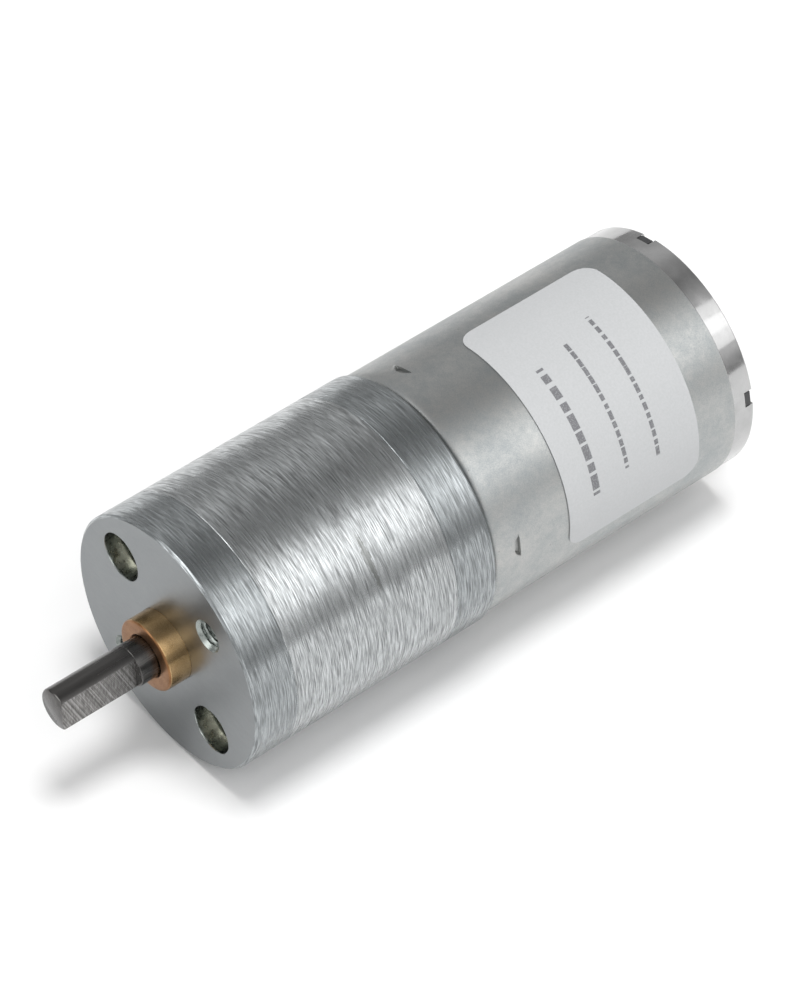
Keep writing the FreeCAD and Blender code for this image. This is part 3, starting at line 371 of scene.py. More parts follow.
# The scuff: its direction, its place along Y, its half length and its half width.
SCUFF_ANGLE = math.radians(40)
SCUFF_AT = 14.9
SCUFF_REACH = 3.1
SCUFF_WIDTH = 0.34


def ring_material():
    """The gearbox ring: brushed, with a small scuff on its upper front."""
    made, base, shine, normal = brushed("ring_brushed", RING_GREY, 0.5, 0.29, 0.012)
    along = made.math("ADD", made.math("MULTIPLY", made.z, math.cos(SCUFF_ANGLE)),
                      made.math("MULTIPLY", made.x, -math.sin(SCUFF_ANGLE)))
    across = made.math("SUBTRACT", made.y, SCUFF_AT)
    wavy = made.math("MULTIPLY", made.math("SUBTRACT", made.noise(1.2, 3.0), 0.5), 0.9)
    near = made.math("POWER", made.math("DIVIDE", along, SCUFF_REACH), 2.0)
    wide = made.math("POWER", made.math("DIVIDE", made.math("ADD", across, wavy), SCUFF_WIDTH), 2.0)
    mark = made.band(made.math("ADD", near, wide), 1.0, 0.45)
    mark = made.math("MULTIPLY", mark, made.band(made.x, 0.0, 1.0))
    base = made.mix(made.math("MULTIPLY", mark, 0.62), base, (0.16, 0.165, 0.155))
    return made.finish(base, shine, normal)


def side_material(name, colour):
    """The cylindrical sides of the end plates."""
    made, base, shine, normal = brushed(name, colour, 0.42, 0.29, 0.011)
    return made.finish(base, shine, normal)


def face_material():
    """The plate's faced front: satin, with a fine grain, and smoother near the bush."""
    made = Recipe("face_satin", Metallic=1.0)
    cloud = made.noise(0.28, 5.0)
    turned_rings = made.noise((0.9, 0.9, 2.2), 4.0, 0.7)
    grain = made.noise(8.0, 3.0)
    pits = made.spots(0.9, 0.06)
    blend = made.math("ADD", made.math("MULTIPLY", cloud, 0.5), made.math("MULTIPLY", turned_rings, 0.5))
    blend = made.math("ADD", made.math("MULTIPLY", blend, 0.75), made.math("MULTIPLY", grain, 0.25))
    base = made.ramp(blend, (0.38, FACE_GREYS[0]), (0.62, FACE_GREYS[1]))
    base = made.mix(made.math("MULTIPLY", pits, 0.4), base, grey(0.24))
    worn = made.band(made.radius(), 4.0, 8.5, 0.28, 0.32)
    shine = made.math("ADD", worn, made.band(blend, 0.35, 0.65, 0.0, 0.05))
    under = made.bump(grain, 0.002)
    return made.finish(base, shine, made.bump(cloud, 0.006, under))


def bore_material():
    """The as-cast walls of the plate's holes."""
    return plain("bore_cast", (0.40, 0.43, 0.41), (0.25, 0.275, 0.26), 0.27, 2.0, 0.006, 1.0)


def can_material():
    """The can: fine matte steel, mottled, with scattered dark specks."""
    made = Recipe("can_matte", Metallic=1.0)
    cloud = made.noise(0.18, 4.0)
    mottle = made.noise(1.1, 5.0, 0.7)
    grain = made.noise(11.0, 2.0)
    blend = made.math("ADD", made.math("MULTIPLY", cloud, 0.3), made.math("MULTIPLY", mottle, 0.3))
    blend = made.math("ADD", blend, made.math("MULTIPLY", grain, 0.4))
    base = made.ramp(blend, (0.40, (0.345, 0.368, 0.375)), (0.60, (0.475, 0.475, 0.462)))
    base = made.mix(made.math("MULTIPLY", made.spots(0.36, 0.04), 0.75), base, grey(0.12))
    shine = made.band(blend, 0.38, 0.62, 0.45, 0.36)
    return made.finish(base, shine, made.bump(grain, 0.006))


def band_material():
    """The polished band at the can's rear."""
    made = Recipe("band_polished", Metallic=1.0)
    rings = made.noise((0.12, 6.0, 0.12), 3.0, 0.6)
    dull = made.noise(0.5, 4.0)
    base = made.ramp(dull, (0.35, grey(0.42)), (0.65, grey(0.50)))
    shine = made.band(dull, 0.3, 0.75, 0.07, 0.2)
    return made.finish(base, shine, made.bump(rings, 0.0015))


def bush_material(name, light, dark, roughness, spread=0.0):
    """Porous bronze, turned round the Y axis."""
    made = Recipe(name, Metallic=1.0, Anisotropic=spread, Anisotropic_Rotation=0.25)
    round_y(made)
    pores = made.noise(7.0, 4.0, 0.7)
    cloud = made.noise((0.9, 0.5, 0.9), 3.0)
    blend = made.math("ADD", made.math("MULTIPLY", pores, 0.5), made.math("MULTIPLY", cloud, 0.5))
    base = made.ramp(blend, (0.38, dark), (0.6, light))
    shine = made.band(blend, 0.3, 0.7, roughness + 0.06, roughness - 0.03)
    return made.finish(base, shine, made.bump(pores, 0.003))


def shaft_material():
    """Ground steel, a little darker in streaks along its length."""
    made = Recipe("shaft_ground", Metallic=1.0)
    rings = made.noise((0.3, 16.0, 0.3), 3.0, 0.6)
    streak = made.noise((1.4, 0.12, 1.4), 3.0)
    base = made.ramp(streak, (0.35, grey(0.085, 0.03)), (0.65, grey(0.125, 0.03)))
    shine = made.band(streak, 0.3, 0.7, 0.2, 0.3)
    return made.finish(base, shine, made.bump(rings, 0.0015))


def flat_material():
    """The milled flat, with slanting cutter marks of uneven width."""
    made = Recipe("flat_milled", Metallic=1.0)
    slant = made.math("ADD", made.y, made.math("MULTIPLY", made.z, 0.45))
    lines = made.add("ShaderNodeCombineXYZ", {1: slant}).outputs[0]
    wide = made.add("ShaderNodeTexNoise", {"Vector": lines, "Scale": 4.2, "Detail": 4.0,
                                           "Roughness": 0.75}).outputs[0]
    fine = made.noise((1.5, 9.0, 1.5), 2.0)
    blend = made.math("ADD", made.math("MULTIPLY", wide, 0.75), made.math("MULTIPLY", fine, 0.25))
    base = made.ramp(blend, (0.38, grey(0.08, 0.03)), (0.48, grey(0.17, 0.03)), (0.58, grey(0.36, 0.02)))
    shine = made.band(blend, 0.35, 0.65, 0.42, 0.26)
    return made.finish(base, shine, made.bump(wide, 0.02))


# Rows of dashes: place along Y, half height, start and end round the can, and pitch.
LABEL_ROWS = ((38.9, 0.42, 2.4, 15.4, 1.5), (42.6, 0.25, 3.2, 16.2, 0.9), (46.2, 0.25, 2.6, 17.4, 0.9))
LABEL_RADIUS = 12.3
INK_EDGE = 0.06


def label_material():
    """Matte paper with three rows of plain grey dashes."""
    made = Recipe("label_printed", Metallic=0.0)
    fibre = made.noise(5.0, 4.0)
    paper = made.ramp(fibre, (0.35, (0.45, 0.46, 0.465)), (0.65, (0.485, 0.492, 0.50)))
    along = made.math("MULTIPLY", made.angle(), LABEL_RADIUS)
    ink = None
    for middle, height, start, end, pitch in LABEL_ROWS:
        off = made.math("ABSOLUTE", made.math("SUBTRACT", made.y, middle))
        row = made.band(off, height, height - INK_EDGE)
        half = (end - start) / 2
        inside = made.band(made.math("ABSOLUTE", made.math("SUBTRACT", along, start + half)), half,
                           half - INK_EDGE)
        step = made.math("DIVIDE", along, pitch)
        place = made.math("ABSOLUTE", made.math("SUBTRACT", made.math("FRACT", step), 0.5))
        seed = made.add("ShaderNodeCombineXYZ", {0: made.math("FLOOR", step), 1: middle}).outputs[0]
        length = made.add("ShaderNodeTexWhiteNoise", {0: seed}, noise_dimensions="3D").outputs[0]
        reach = made.math("MULTIPLY_ADD", length, 0.28, 0.24)
        dash = made.math("GREATER_THAN", reach, place)
        mark = made.math("MULTIPLY", made.math("MULTIPLY", row, inside), dash)
        ink = made.math("MAXIMUM", ink, mark) if ink else mark
    worn = made.band(made.noise(8.0, 2.0), 0.3, 0.55, 0.6, 0.92)
    base = made.mix(made.math("MULTIPLY", ink, worn), paper, (0.12, 0.12, 0.13))
    shine = made.band(fibre, 0.3, 0.7, 0.5, 0.62)
    return made.finish(base, shine, made.bump(fibre, 0.004))


def winding_material():
    """Enamelled wire: turns that lie side by side round each arm."""
    made = Recipe("coil_wire", Metallic=1.0, Coat_Weight=0.6)
    turns = made.math("SINE", made.math("MULTIPLY", made.radius(), 2 * math.pi / 0.32))
    shade = made.noise(1.4, 3.0)
    base = made.ramp(shade, (0.3, (0.42, 0.13, 0.05)), (0.7, (0.72, 0.27, 0.1)))
    shine = made.band(shade, 0.3, 0.7, 0.25, 0.38)
    return made.finish(base, shine, made.bump(turns, 0.06))


def stacked_material():
    """The armature's laminations, one sheet on another."""
    made = Recipe("core_sheets", Metallic=1.0)
    sheets = made.math("SINE", made.math("MULTIPLY", made.y, 2 * math.pi / 0.5))
    cloud = made.noise(0.8, 4.0)
    base = made.ramp(cloud, (0.35, (0.2, 0.2, 0.22)), (0.65, (0.36, 0.36, 0.38)))
    shine = made.band(cloud, 0.3, 0.7, 0.3, 0.45)
    return made.finish(base, shine, made.bump(sheets, 0.03))


MATERIALS = {
    "die_cast_alloy": side_material("plate_side", PLATE_GREY),
    "turned_steel": ring_material(),
    "can_steel": can_material(),
    "sintered_bronze": bush_material("bronze_side", (0.54, 0.37, 0.19), (0.36, 0.235, 0.11), 0.22, 0.8),
    "shaft_steel": shaft_material(),
    "screw_steel": plain("screw_zinc", (0.80, 0.76, 0.64), (0.55, 0.50, 0.40), 0.16, 2.2, 0.02, 1.0),
    "gear_steel": plain("gear_sintered", (0.46, 0.46, 0.45), (0.30, 0.30, 0.29), 0.32, 7.0, 0.006, 1.0),
    "pinion_brass": along_y("pinion_hobbed", (0.78, 0.58, 0.26), (0.58, 0.40, 0.16), 0.24),
    "pin_steel": along_y("pin_ground", (0.68, 0.68, 0.68), (0.52, 0.52, 0.52), 0.16, 16.0, 0.001),
    "washer_steel": plain("washer_stamped", (0.62, 0.62, 0.61), (0.45, 0.45, 0.44), 0.28, 4.0, 0.003, 1.0),
    "ferrite": plain("magnet_ferrite", (0.075, 0.075, 0.08), (0.035, 0.035, 0.04), 0.5, 6.0, 0.01, 0.0),
    "spring_steel": along_y("clip_rolled", (0.50, 0.50, 0.52), (0.36, 0.36, 0.38), 0.26, 5.0, 0.002),
    "lamination_steel": stacked_material(),
    "insulating_card": plain("card_fibre", (0.46, 0.09, 0.06), (0.30, 0.05, 0.035), 0.6, 4.0, 0.01),
    "enamelled_copper": winding_material(),
    "moulded_resin": plain("resin_moulded", (0.075, 0.05, 0.035), (0.04, 0.028, 0.02), 0.4, 3.0, 0.006),
    "segment_copper": along_y("segment_turned", (0.86, 0.46, 0.28), (0.62, 0.28, 0.15), 0.22, 14.0),
    "carbon": plain("brush_graphite", (0.06, 0.06, 0.065), (0.025, 0.025, 0.028), 0.45, 8.0, 0.008),
    "leaf_bronze": plain("leaf_rolled", (0.74, 0.52, 0.26), (0.55, 0.36, 0.16), 0.24, 2.0, 0.002, 1.0),
    "tab_brass": plain("tab_tinned", (0.80, 0.76, 0.62), (0.58, 0.52, 0.38), 0.25, 2.4, 0.006, 1.0),
    "nylon": plain("cap_nylon", (0.045, 0.045, 0.047), (0.022, 0.022, 0.024), 0.42, 5.0, 0.008),
    "label_paper": label_material(),
}
for node in nodes.values():
    for place in node.material_slots:
        place.material = MATERIALS[place.material.name.split(".")[0]]


# ---------------------------------------------------------------- camera, floor and light

def aim(thing, target):
    """Points a camera's or a light's -Z at the target."""
    thing.rotation_euler = (Vector(target) - thing.location).to_track_quat("-Z", "Y").to_euler()


CAMERA_AZIMUTH = math.radians(50.19)
CAMERA_ELEVATION = math.radians(45.89)
CAMERA_DISTANCE = 414.5
CAMERA_LENS = 168.55
AIMED_AT = (0, 29, 0)
OFF_CENTRE = (2.36, 0.62)


def make_camera(azimuth=CAMERA_AZIMUTH, elevation=CAMERA_ELEVATION, distance=CAMERA_DISTANCE):
    """The camera looks down on the front of the gearbox from its right."""
    back = Vector((math.sin(azimuth) * math.cos(elevation), -math.cos(azimuth) * math.cos(elevation),
                   math.sin(elevation)))
    right = Vector((math.cos(azimuth), math.sin(azimuth), 0))
    up = back.cross(right)
    target = Vector(AIMED_AT) - right * OFF_CENTRE[0] - up * OFF_CENTRE[1]
    data = bpy.data.cameras.new("camera")
    data.lens = CAMERA_LENS
    data.sensor_width = 36.0
    data.clip_start = 0.01
    data.clip_end = 20.0
    camera = bpy.data.objects.new("camera", data)
    camera.location = (target + back * distance) * MM
    aim(camera, target * MM)
    bpy.context.scene.collection.objects.link(camera)
    bpy.context.scene.camera = camera


def make_floor():
    """A plain pale floor under the lowest point of the part."""
    bm = bmesh.new()
    bmesh.ops.create_grid(bm, x_segments=8, y_segments=8, size=1500)
    floor = as_object(bm, "floor")
    floor.data.transform(Matrix.Scale(MM, 4))
    floor.location.z = cad_box[0].z
    made = Recipe("floor_paint")
    cloud = made.noise(0.01, 2.0)
    paint = made.ramp(cloud, (0.3, grey(0.86)), (0.7, grey(0.88)))
    made.finish(paint, made.band(cloud, 0.3, 0.7, 0.75, 0.8))
    made.shader.inputs["Specular IOR Level"].default_value = 0.1
    floor.data.materials.append(made.material)


def make_light(name, place, target, size, power, diffuse=True):
    """A rectangular light, which may be left to reflections alone."""
    data = bpy.data.lights.new(name, "AREA")
    data.shape = "RECTANGLE"
    data.size, data.size_y = size
    data.energy = power
    light = bpy.data.objects.new(name, data)
    light.location = place
    aim(light, target)
    light.visible_diffuse = diffuse
    light.visible_camera = False
    bpy.context.scene.collection.objects.link(light)


# What reflections see round the Y axis: the direction as a share of half a turn, and the level.
REFLECTED = ((0.0, 0.36), (0.05, 0.48), (0.11, 0.9), (0.3, 1.0), (0.4, 0.72), (0.47, 0.42), (0.54, 0.3),
             (0.62, 0.4), (0.74, 0.66), (0.84, 0.56), (0.94, 0.42), (1.0, 0.42))
ROOM_LEVEL = 0.62


def make_world():
    """A white studio. Reflections see its walls and dark ceiling by the direction round the Y axis."""
    world = bpy.data.worlds.new("studio")
    world.use_nodes = True
    tree = world.node_tree

    def add(kind, *inputs, **options):
        node = tree.nodes.new(kind)
        for key, option in options.items():
            setattr(node, key, option)
        for key, given in enumerate(inputs):
            if isinstance(given, bpy.types.NodeSocket):
                tree.links.new(given, node.inputs[key])
            else:
                node.inputs[key].default_value = given
        return node

    parts = add("ShaderNodeSeparateXYZ", add("ShaderNodeTexCoord").outputs["Generated"]).outputs
    turn = add("ShaderNodeMath", parts[2], parts[0], operation="ARCTAN2").outputs[0]
    share = add("ShaderNodeMath", turn, math.pi, operation="DIVIDE").outputs[0]
    ramp = add("ShaderNodeValToRGB", share)
    elements = ramp.color_ramp.elements
    while len(elements) < len(REFLECTED):
        elements.new(0.5)
    for element, (place, level) in zip(elements, REFLECTED):
        element.position = place
        element.color = grey(level) + (1,)
    path = add("ShaderNodeLightPath").outputs
    plain_light = add("ShaderNodeMix", path["Is Camera Ray"], data_type="RGBA")
    plain_light.inputs[6].default_value = grey(ROOM_LEVEL) + (1,)
    plain_light.inputs[7].default_value = (1, 1, 1, 1)
    seen = add("ShaderNodeMix", path["Is Glossy Ray"], data_type="RGBA")
    tree.links.new(plain_light.outputs[2], seen.inputs[6])
    tree.links.new(ramp.outputs[0], seen.inputs[7])
    tree.links.new(seen.outputs[2], tree.nodes["Background"].inputs["Color"])
    bpy.context.scene.world = world


def make_sun(way, strength, spread):
    """A broad overhead light for the floor's shadow, unseen in reflections."""
    data = bpy.data.lights.new("overhead", "SUN")
    data.energy = strength
    data.angle = spread
    sun = bpy.data.objects.new("overhead", data)
    sun.location = way
    aim(sun, (0, 0, 0))
    sun.visible_glossy = False
    bpy.context.scene.collection.objects.link(sun)


make_camera()
make_floor()
make_world()
make_sun((0.12, 0.02, 1.0), 1.75, math.radians(20))
make_light("soft_box", (0.373, 0.18, 0.386), (0.0, 0.18, 0.0), (0.94, 0.42), 0.95)
make_light("strip", (0.355, 0.16, 0.37), (0.0, 0.16, 0.0), (0.98, 0.13), 0.2)
make_light("front_card", (-0.22, -0.62, 0.42), (0.0, 0.0, 0.0), (0.5, 0.4), 1.6, diffuse=False)
bpy.context.scene.view_settings.view_transform = "Standard"


# ---------------------------------------------------------------- the gearbox

BODY_RADIUS = 12.5
FACE_BREAK = 0.25
JOINT_BREAK = 0.07
PLATE_END = 4.5
SPIGOT_RADIUS = 11.25
SPIGOT_END = 5.0
RING_BORE = 11.3
RING_END = 22.5
BUSH_FRONT = -2.3
BUSH_RADIUS = 3.5
BUSH_PRESSED = 3.2
BUSH_BORE = 2.04
BORE_BREAK = 0.14
BUSH_SEAT = 0.1
PRESS_GAP = 0.02
PIN_CIRCLE = 6.4
PIN_HOLE = 0.77
TAP_MOUTH = 1.6
TAP_DEPTH = 4.0
COUNTERBORE = 2.35
SCREW_SEAT = 3.2
SCREW_HOLE = 1.45
THREAD_HOLE = 1.05
HEAD_TOP = 1.7
SHANK = 1.03
PAST = 0.4
HOLE_CIRCLE = 8.5
TAPPED = (math.radians(45), math.radians(225))
CASED = (math.radians(135), math.radians(315))
PINS = (math.radians(75), math.radians(15))


def on_circle(radius, angle):
    """A place (x, z) on a circle round the Y axis, turned from +X towards +Z."""
    return radius * math.cos(angle), radius * math.sin(angle)


def spaced(start, end, count):
    """Evenly spaced numbers from start to end, both ends included."""
    return [start + (end - start) * step / count for step in range(count + 1)]


def thread_radius(angle, y, core=1.2, depth=0.26, pitch=0.5):
    """A right-hand V thread's radius."""
    turn = (y / pitch - angle / (2 * math.pi)) % 1
    return core + depth * min(1.0, 1.15 * (1 - abs(2 * turn - 1)))


def tapped_hole(angle):
    """A threaded blind hole with a bevelled mouth."""
    rows = spaced(-PAST, TAP_DEPTH, 88)
    return rod(rows, 56, lambda turn, y: max(thread_radius(turn, y), TAP_MOUTH - y),
               on_circle(HOLE_CIRCLE, angle))


def counterbore(angle, flash):
    """A cast counterbore with an uneven mouth, and the screw's hole under it."""
    def shape(turn, y):
        if y > SCREW_SEAT:
            return SCREW_HOLE
        way = Vector((math.cos(turn), math.sin(turn), 0.35 * y + flash))
        uneven = noise.noise(way * 1.3) * 0.04 + noise.noise(way * 3.1) * flash
        return COUNTERBORE + uneven + max(0.0, 0.1 - y) * 0.35

    rows = [-PAST, -0.15, 0.0, 0.03, 0.06, 0.1, 0.3, 0.8, 1.4, 2.2, SCREW_SEAT - 0.02, SCREW_SEAT + 0.001,
            SPIGOT_END + PAST]
    return rod(rows, 96, shape, on_circle(HOLE_CIRCLE, angle))


def make_front_plate():
    plate = as_object(turned((
        (BUSH_RADIUS + PRESS_GAP, 0.0), (BODY_RADIUS - FACE_BREAK, 0.0), (BODY_RADIUS, FACE_BREAK),
        (BODY_RADIUS, PLATE_END - JOINT_BREAK), (BODY_RADIUS - JOINT_BREAK, PLATE_END),
        (SPIGOT_RADIUS, PLATE_END), (SPIGOT_RADIUS, SPIGOT_END), (BUSH_PRESSED + PRESS_GAP, SPIGOT_END),
        (BUSH_PRESSED + PRESS_GAP, BUSH_SEAT), (BUSH_RADIUS + PRESS_GAP, BUSH_SEAT))), "front_plate_cast")
    tools = [tapped_hole(angle) for angle in TAPPED]
    tools += [counterbore(angle, flash) for angle, flash in zip(CASED, (0.01, 0.035))]
    tools += [rod([3.0, SPIGOT_END + PAST], 32, lambda turn, y: PIN_HOLE, on_circle(PIN_CIRCLE, angle))
              for angle in PINS]
    carved(plate, tools)

    def pick(centre, normal):
        """The walls of the holes are cast, the front is faced and the side is brushed."""
        if centre.y > 0.001 and math.hypot(centre.x, centre.z) < 11.2:
            return 2
        return 0 if normal.y < -0.97 else 1

    materials = (face_material(), MATERIALS["die_cast_alloy"], bore_material())
    put(plate, "housing", materials, ["front_plate"], pick)


def make_gearbox_ring():
    ring = as_object(turned((
        (RING_BORE, PLATE_END), (BODY_RADIUS - JOINT_BREAK, PLATE_END),
        (BODY_RADIUS, PLATE_END + JOINT_BREAK), (BODY_RADIUS, RING_END - JOINT_BREAK),
        (BODY_RADIUS - JOINT_BREAK, RING_END), (RING_BORE, RING_END))), "gearbox_ring_turned")
    put(ring, "housing", (MATERIALS["turned_steel"],), ["gearbox_ring"])


def make_bush():
    bush = as_object(turned((
        (BUSH_BORE, BUSH_FRONT + BORE_BREAK, 0.04), (BUSH_BORE + BORE_BREAK, BUSH_FRONT, 0.04),
        (BUSH_RADIUS, BUSH_FRONT, 0.22), (BUSH_RADIUS, BUSH_SEAT), (BUSH_PRESSED, BUSH_SEAT),
        (BUSH_PRESSED, SPIGOT_END, 0.1), (BUSH_BORE, SPIGOT_END))), "output_bush_turned")
    # The front face is a darker copy of the same bronze as the side: painted shade.
    face = bush_material("bronze_face_painted_shade", (0.30, 0.152, 0.07), (0.205, 0.10, 0.043), 0.34)
    put(bush, "housing", (MATERIALS["sintered_bronze"], face), ["output_bush"],
        lambda centre, normal: 1 if centre.y < -2.05 and normal.y < -0.3 else 0)


def cross_tool(turn, depth=0.9):
    """A tapering cross-recess punch."""
    arm, half = 1.25, 0.28
    outline = ((arm, -half), (arm, half), (half, half), (half, arm), (-half, arm), (-half, half),
               (-arm, half), (-arm, -half), (-half, -half), (-half, -arm), (half, -arm), (half, -half))
    bm = bmesh.new()
    rings = []
    for y, size in ((HEAD_TOP - 0.3, 1.15), (HEAD_TOP + depth, 0.62)):
        ring = []
        for x, z in outline:
            spot = Matrix.Rotation(-turn, 4, "Y") @ Vector((x * size, y, z * size))
            ring.append(bm.verts.new(spot))
        rings.append(ring)
    add_rings(bm, rings, closed=False)
    bm.faces.new(rings[0])
    bm.faces.new(rings[-1])
    return bm


def make_case_screws():
    """Cheese-head screws with a crowned head and a cross recess."""
    bms = []
    for angle, turn in zip(CASED, (70.0, 120.0)):
        bm = bmesh.new()
        profile = [(0.6, HEAD_TOP), (1.75, HEAD_TOP), (2.06, 1.83), (2.2, 2.15), (2.2, SCREW_SEAT),
                   (SHANK, SCREW_SEAT), (SHANK, 26.0), (0.63, 26.4)]
        rings = []
        for radius, y in profile:
            rings.append([bm.verts.new((radius * math.cos(step * math.pi / 36), y,
                                        radius * math.sin(step * math.pi / 36))) for step in range(72)])
        add_rings(bm, rings, closed=False)
        bm.faces.new(rings[0])
        bm.faces.new(rings[-1])
        screw = carved(as_object(bm, "screw"), [cross_tool(math.radians(turn))])
        x, z = on_circle(HOLE_CIRCLE, angle)
        screw.data.transform(Matrix.Translation((x, 0, z)))
        whole = bmesh.new()
        whole.from_mesh(screw.data)
        bms.append(whole)
        bpy.data.objects.remove(screw)
    put(joined(bms, "case_screws_headed"), "housing", (MATERIALS["screw_steel"],),
        ["case_screws"])


SHAFT_RADIUS = 2.0
FLAT = 1.05
FLAT_ROOT = -4.15
SHAFT_TIP = -12.0
GROOVE = (-2.2, -1.4)
GROOVE_RADIUS = 1.8


def d_radius(angle, radius, soft=0.03):
    """The radius of a D-shaped section, its two corners a little rounded."""
    facing = math.cos(angle)
    if facing <= 0.05:
        return radius
    chord = FLAT / facing
    blend = max(soft - abs(radius - chord), 0.0) / soft
    return min(radius, chord) - blend * blend * soft / 4


def make_shaft():
    """The output shaft, with its milled flat and the groove that lies inside the bush."""
    corner = math.acos(FLAT / SHAFT_RADIUS)
    angles = {round(2 * math.pi * step / 120 - math.pi, 6) for step in range(120)}
    for side in (-corner, corner):
        angles |= {round(side + math.radians(shift), 6) for shift in (-1.4, -0.8, -0.4, 0.0, 0.4, 0.8, 1.4)}
    angles = sorted(angles)
    bm = bmesh.new()
    rows = [(SHAFT_TIP, SHAFT_RADIUS - 0.17, True), (-11.96, SHAFT_RADIUS - 0.10, True),
            (-11.85, SHAFT_RADIUS - 0.02, True), (-11.78, SHAFT_RADIUS, True)]
    rows += [(y, SHAFT_RADIUS, True) for y in spaced(-11.5, FLAT_ROOT, 14)]
    rows += [(FLAT_ROOT + 0.01, SHAFT_RADIUS - 0.06, False), (FLAT_ROOT + 0.08, SHAFT_RADIUS, False),
             (GROOVE[0], SHAFT_RADIUS, False), (GROOVE[0], GROOVE_RADIUS, False),
             (GROOVE[1], GROOVE_RADIUS, False), (GROOVE[1], SHAFT_RADIUS, False),
             (7.4, SHAFT_RADIUS, False), (7.5, 1.9, False)]
    rings = []
    for y, radius, cut in rows:
        ring = []
        for angle in angles:
            here = d_radius(angle, radius) if cut else radius
            ring.append(bm.verts.new((here * math.cos(angle), y, here * math.sin(angle))))
        rings.append(ring)
    add_rings(bm, rings, closed=False)
    bm.faces.new(rings[0])
    bm.faces.new(rings[-1])
    shaft = as_object(bm, "output_shaft_milled")

    def pick(centre, normal):
        return 1 if centre.y < FLAT_ROOT and normal.x > 0.995 else 0

    put(shaft, "output", (MATERIALS["shaft_steel"], flat_material()), ["output_shaft"], pick)


# ---------------------------------------------------------------- the motor

CAN_RADIUS = 12.2
CAN_REAR = 57.8
CAN_FRONT = 27.0
CAN_WALL = 0.8
BAND_START = 55.5
BAND_RADIUS = 12.12
BEARING_HOLE = 2.52
CAP_REAR = 57.5
CAP_FRONT = 55.6
VENT_CIRCLE = 6.6
LANCES = (math.radians(108.6), math.radians(9.0))
LANCE_EDGE = 29.95
LANCE_BOW = 1.3
LUGS = [math.radians(102 + 90 * number) for number in range(4)]


def lance_depth(angle, y):
    """How far a punched lance goes in: deepest along its straight rear edge."""
    deepest = 0.0
    for middle in LANCES:
        turn = (angle - middle + math.pi) % (2 * math.pi) - math.pi
        inside = LANCE_BOW - math.hypot(turn * CAN_RADIUS, y - LANCE_EDGE - 0.6)
        if y < LANCE_EDGE and inside > 0:
            deepest = max(deepest, min(0.35, 2.4 * inside))
        elif y < LANCE_EDGE and inside > -0.25:
            deepest = -0.06 * (1 + inside / 0.25)
    return deepest


def make_can():
    """The drawn can, with its front boss, its lances and the notches in its rim."""
    angles = {round(math.radians(2 * step), 6) for step in range(180)}
    for middle in LANCES:
        angles |= {round((middle + math.radians(0.3 * step)) % (2 * math.pi), 6) for step in range(-24, 25)}
    rows = spaced(29.0, 29.85, 14) + [29.9, 29.93, 29.96, 30.0, 30.2]
    bore = CAN_RADIUS - CAN_WALL
    profile = [(1.6, 25.2), (3.4, 25.2, 0.2), (3.4, CAN_FRONT), (CAN_RADIUS, CAN_FRONT, 1.0)]
    profile += [(CAN_RADIUS, y) for y in rows]
    profile += [(CAN_RADIUS, BAND_START, 0.05), (BAND_RADIUS, BAND_START + 0.06, 0.03),
                (BAND_RADIUS, CAN_REAR, 0.12), (bore, CAN_REAR, 0.12)]
    profile += [(bore, CAN_FRONT + CAN_WALL), (BEARING_HOLE, CAN_FRONT + CAN_WALL), (BEARING_HOLE, 25.6),
                (1.6, 25.6)]

    def shape(radius, y, angle):
        if radius < CAN_RADIUS - 0.001 or not 28.5 < y < 30.5:
            return radius
        return radius - lance_depth(angle, y)

    can = as_object(turned(profile, sorted(angles), shape), "motor_can_drawn")
    tools = [block((10.4, CAN_REAR - 0.95, -0.8), (13.1, CAN_REAR + 1, 0.8), angle) for angle in LUGS]
    tools += [rod([26.5, 28.3], 32, lambda turn, y: THREAD_HOLE, on_circle(HOLE_CIRCLE, angle))
              for angle in TAPPED]
    carved(can, tools)

    def pick(centre, normal):
        return 1 if centre.y > BAND_START else 0

    put(can, "housing", (MATERIALS["can_steel"], band_material()), ["motor_can"], pick)


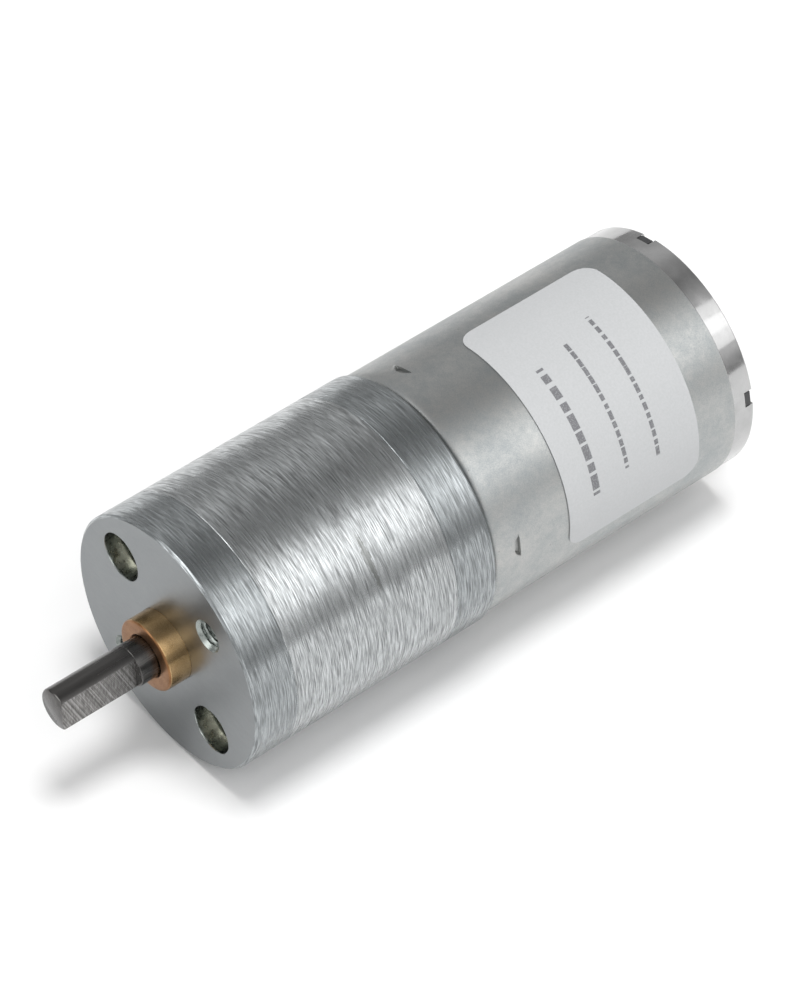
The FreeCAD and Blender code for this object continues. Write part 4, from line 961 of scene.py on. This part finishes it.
def make_label(front=35.6, length=15.4, low=math.radians(-11), high=math.radians(107), corner=1.75):
    """A thin curved sheet whose rows of points narrow at both ends, to round its corners."""
    inner, outer = CAN_RADIUS + 0.02, CAN_RADIUS + 0.1
    reach = (high - low) * inner
    steps = [corner * (1 - math.cos(step * math.pi / 16)) for step in range(8)]
    places = steps + spaced(corner, reach - corner, 90) + [reach - step for step in reversed(steps)]
    bm = bmesh.new()
    sheets = []
    columns = 24
    for radius in (inner, outer):
        grid = []
        for place in places:
            near = min(place, reach - place)
            pinch = corner - math.sqrt(max(corner ** 2 - (corner - near) ** 2, 0)) if near < corner else 0.0
            angle = low + place / inner
            row = []
            for column in range(columns + 1):
                y = front + pinch + (length - 2 * pinch) * column / columns
                lift = 0.03 * max(0.0, 1 - near / 1.2) ** 2
                here = radius + lift
                row.append(bm.verts.new((here * math.cos(angle), y, here * math.sin(angle))))
            grid.append(row)
        sheets.append(grid)
    for grid in sheets:
        for one, other in zip(grid, grid[1:]):
            for column in range(columns):
                bm.faces.new((one[column], one[column + 1], other[column + 1], other[column]))
    bottom, top = sheets

    def border(grid):
        edge = [row[0] for row in grid] + grid[-1][1:]
        edge += [row[-1] for row in reversed(grid[:-1])] + grid[0][-2:0:-1]
        return edge

    add_rings(bm, [border(bottom), border(top)], closed=False)
    put(as_object(bm, "label_paper_sheet"), "housing", (MATERIALS["label_paper"],),
        ["label"])


def make_end_cap():
    """The moulded end cap, with its bearing boss, vents, terminal slots and lugs."""
    cap = as_object(turned((
        (1.4, CAP_FRONT), (11.35, CAP_FRONT), (11.35, CAP_REAR, 0.15), (3.6, CAP_REAR), (3.6, 59.3, 0.3),
        (1.4, 59.3, 0.1), (1.4, 58.9), (BEARING_HOLE, 58.9), (BEARING_HOLE, 56.2),
        (1.4, 56.2))), "cap_blank")
    tools = [rod([55.0, 58.2], 40, lambda turn, y: 1.3 + max(0.0, y - 57.35) * 0.8,
                 on_circle(VENT_CIRCLE, angle)) for angle in TAPPED]
    tools += [block((7.73, 54.0, -1.32), (8.27, 61.0, 1.32), angle) for angle in CASED]
    carved(cap, tools)
    whole = bmesh.new()
    whole.from_mesh(cap.data)
    bpy.data.objects.remove(cap)
    extras = [block((10.9, CAN_REAR - 0.9, -0.7), (12.1, CAP_REAR, 0.7), angle) for angle in LUGS]
    put(joined([whole] + extras, "end_cap_moulded"), "housing", (MATERIALS["nylon"],), ["end_cap"])


make_front_plate()
make_gearbox_ring()
make_bush()
make_case_screws()
make_shaft()
make_can()
make_label()
make_end_cap()
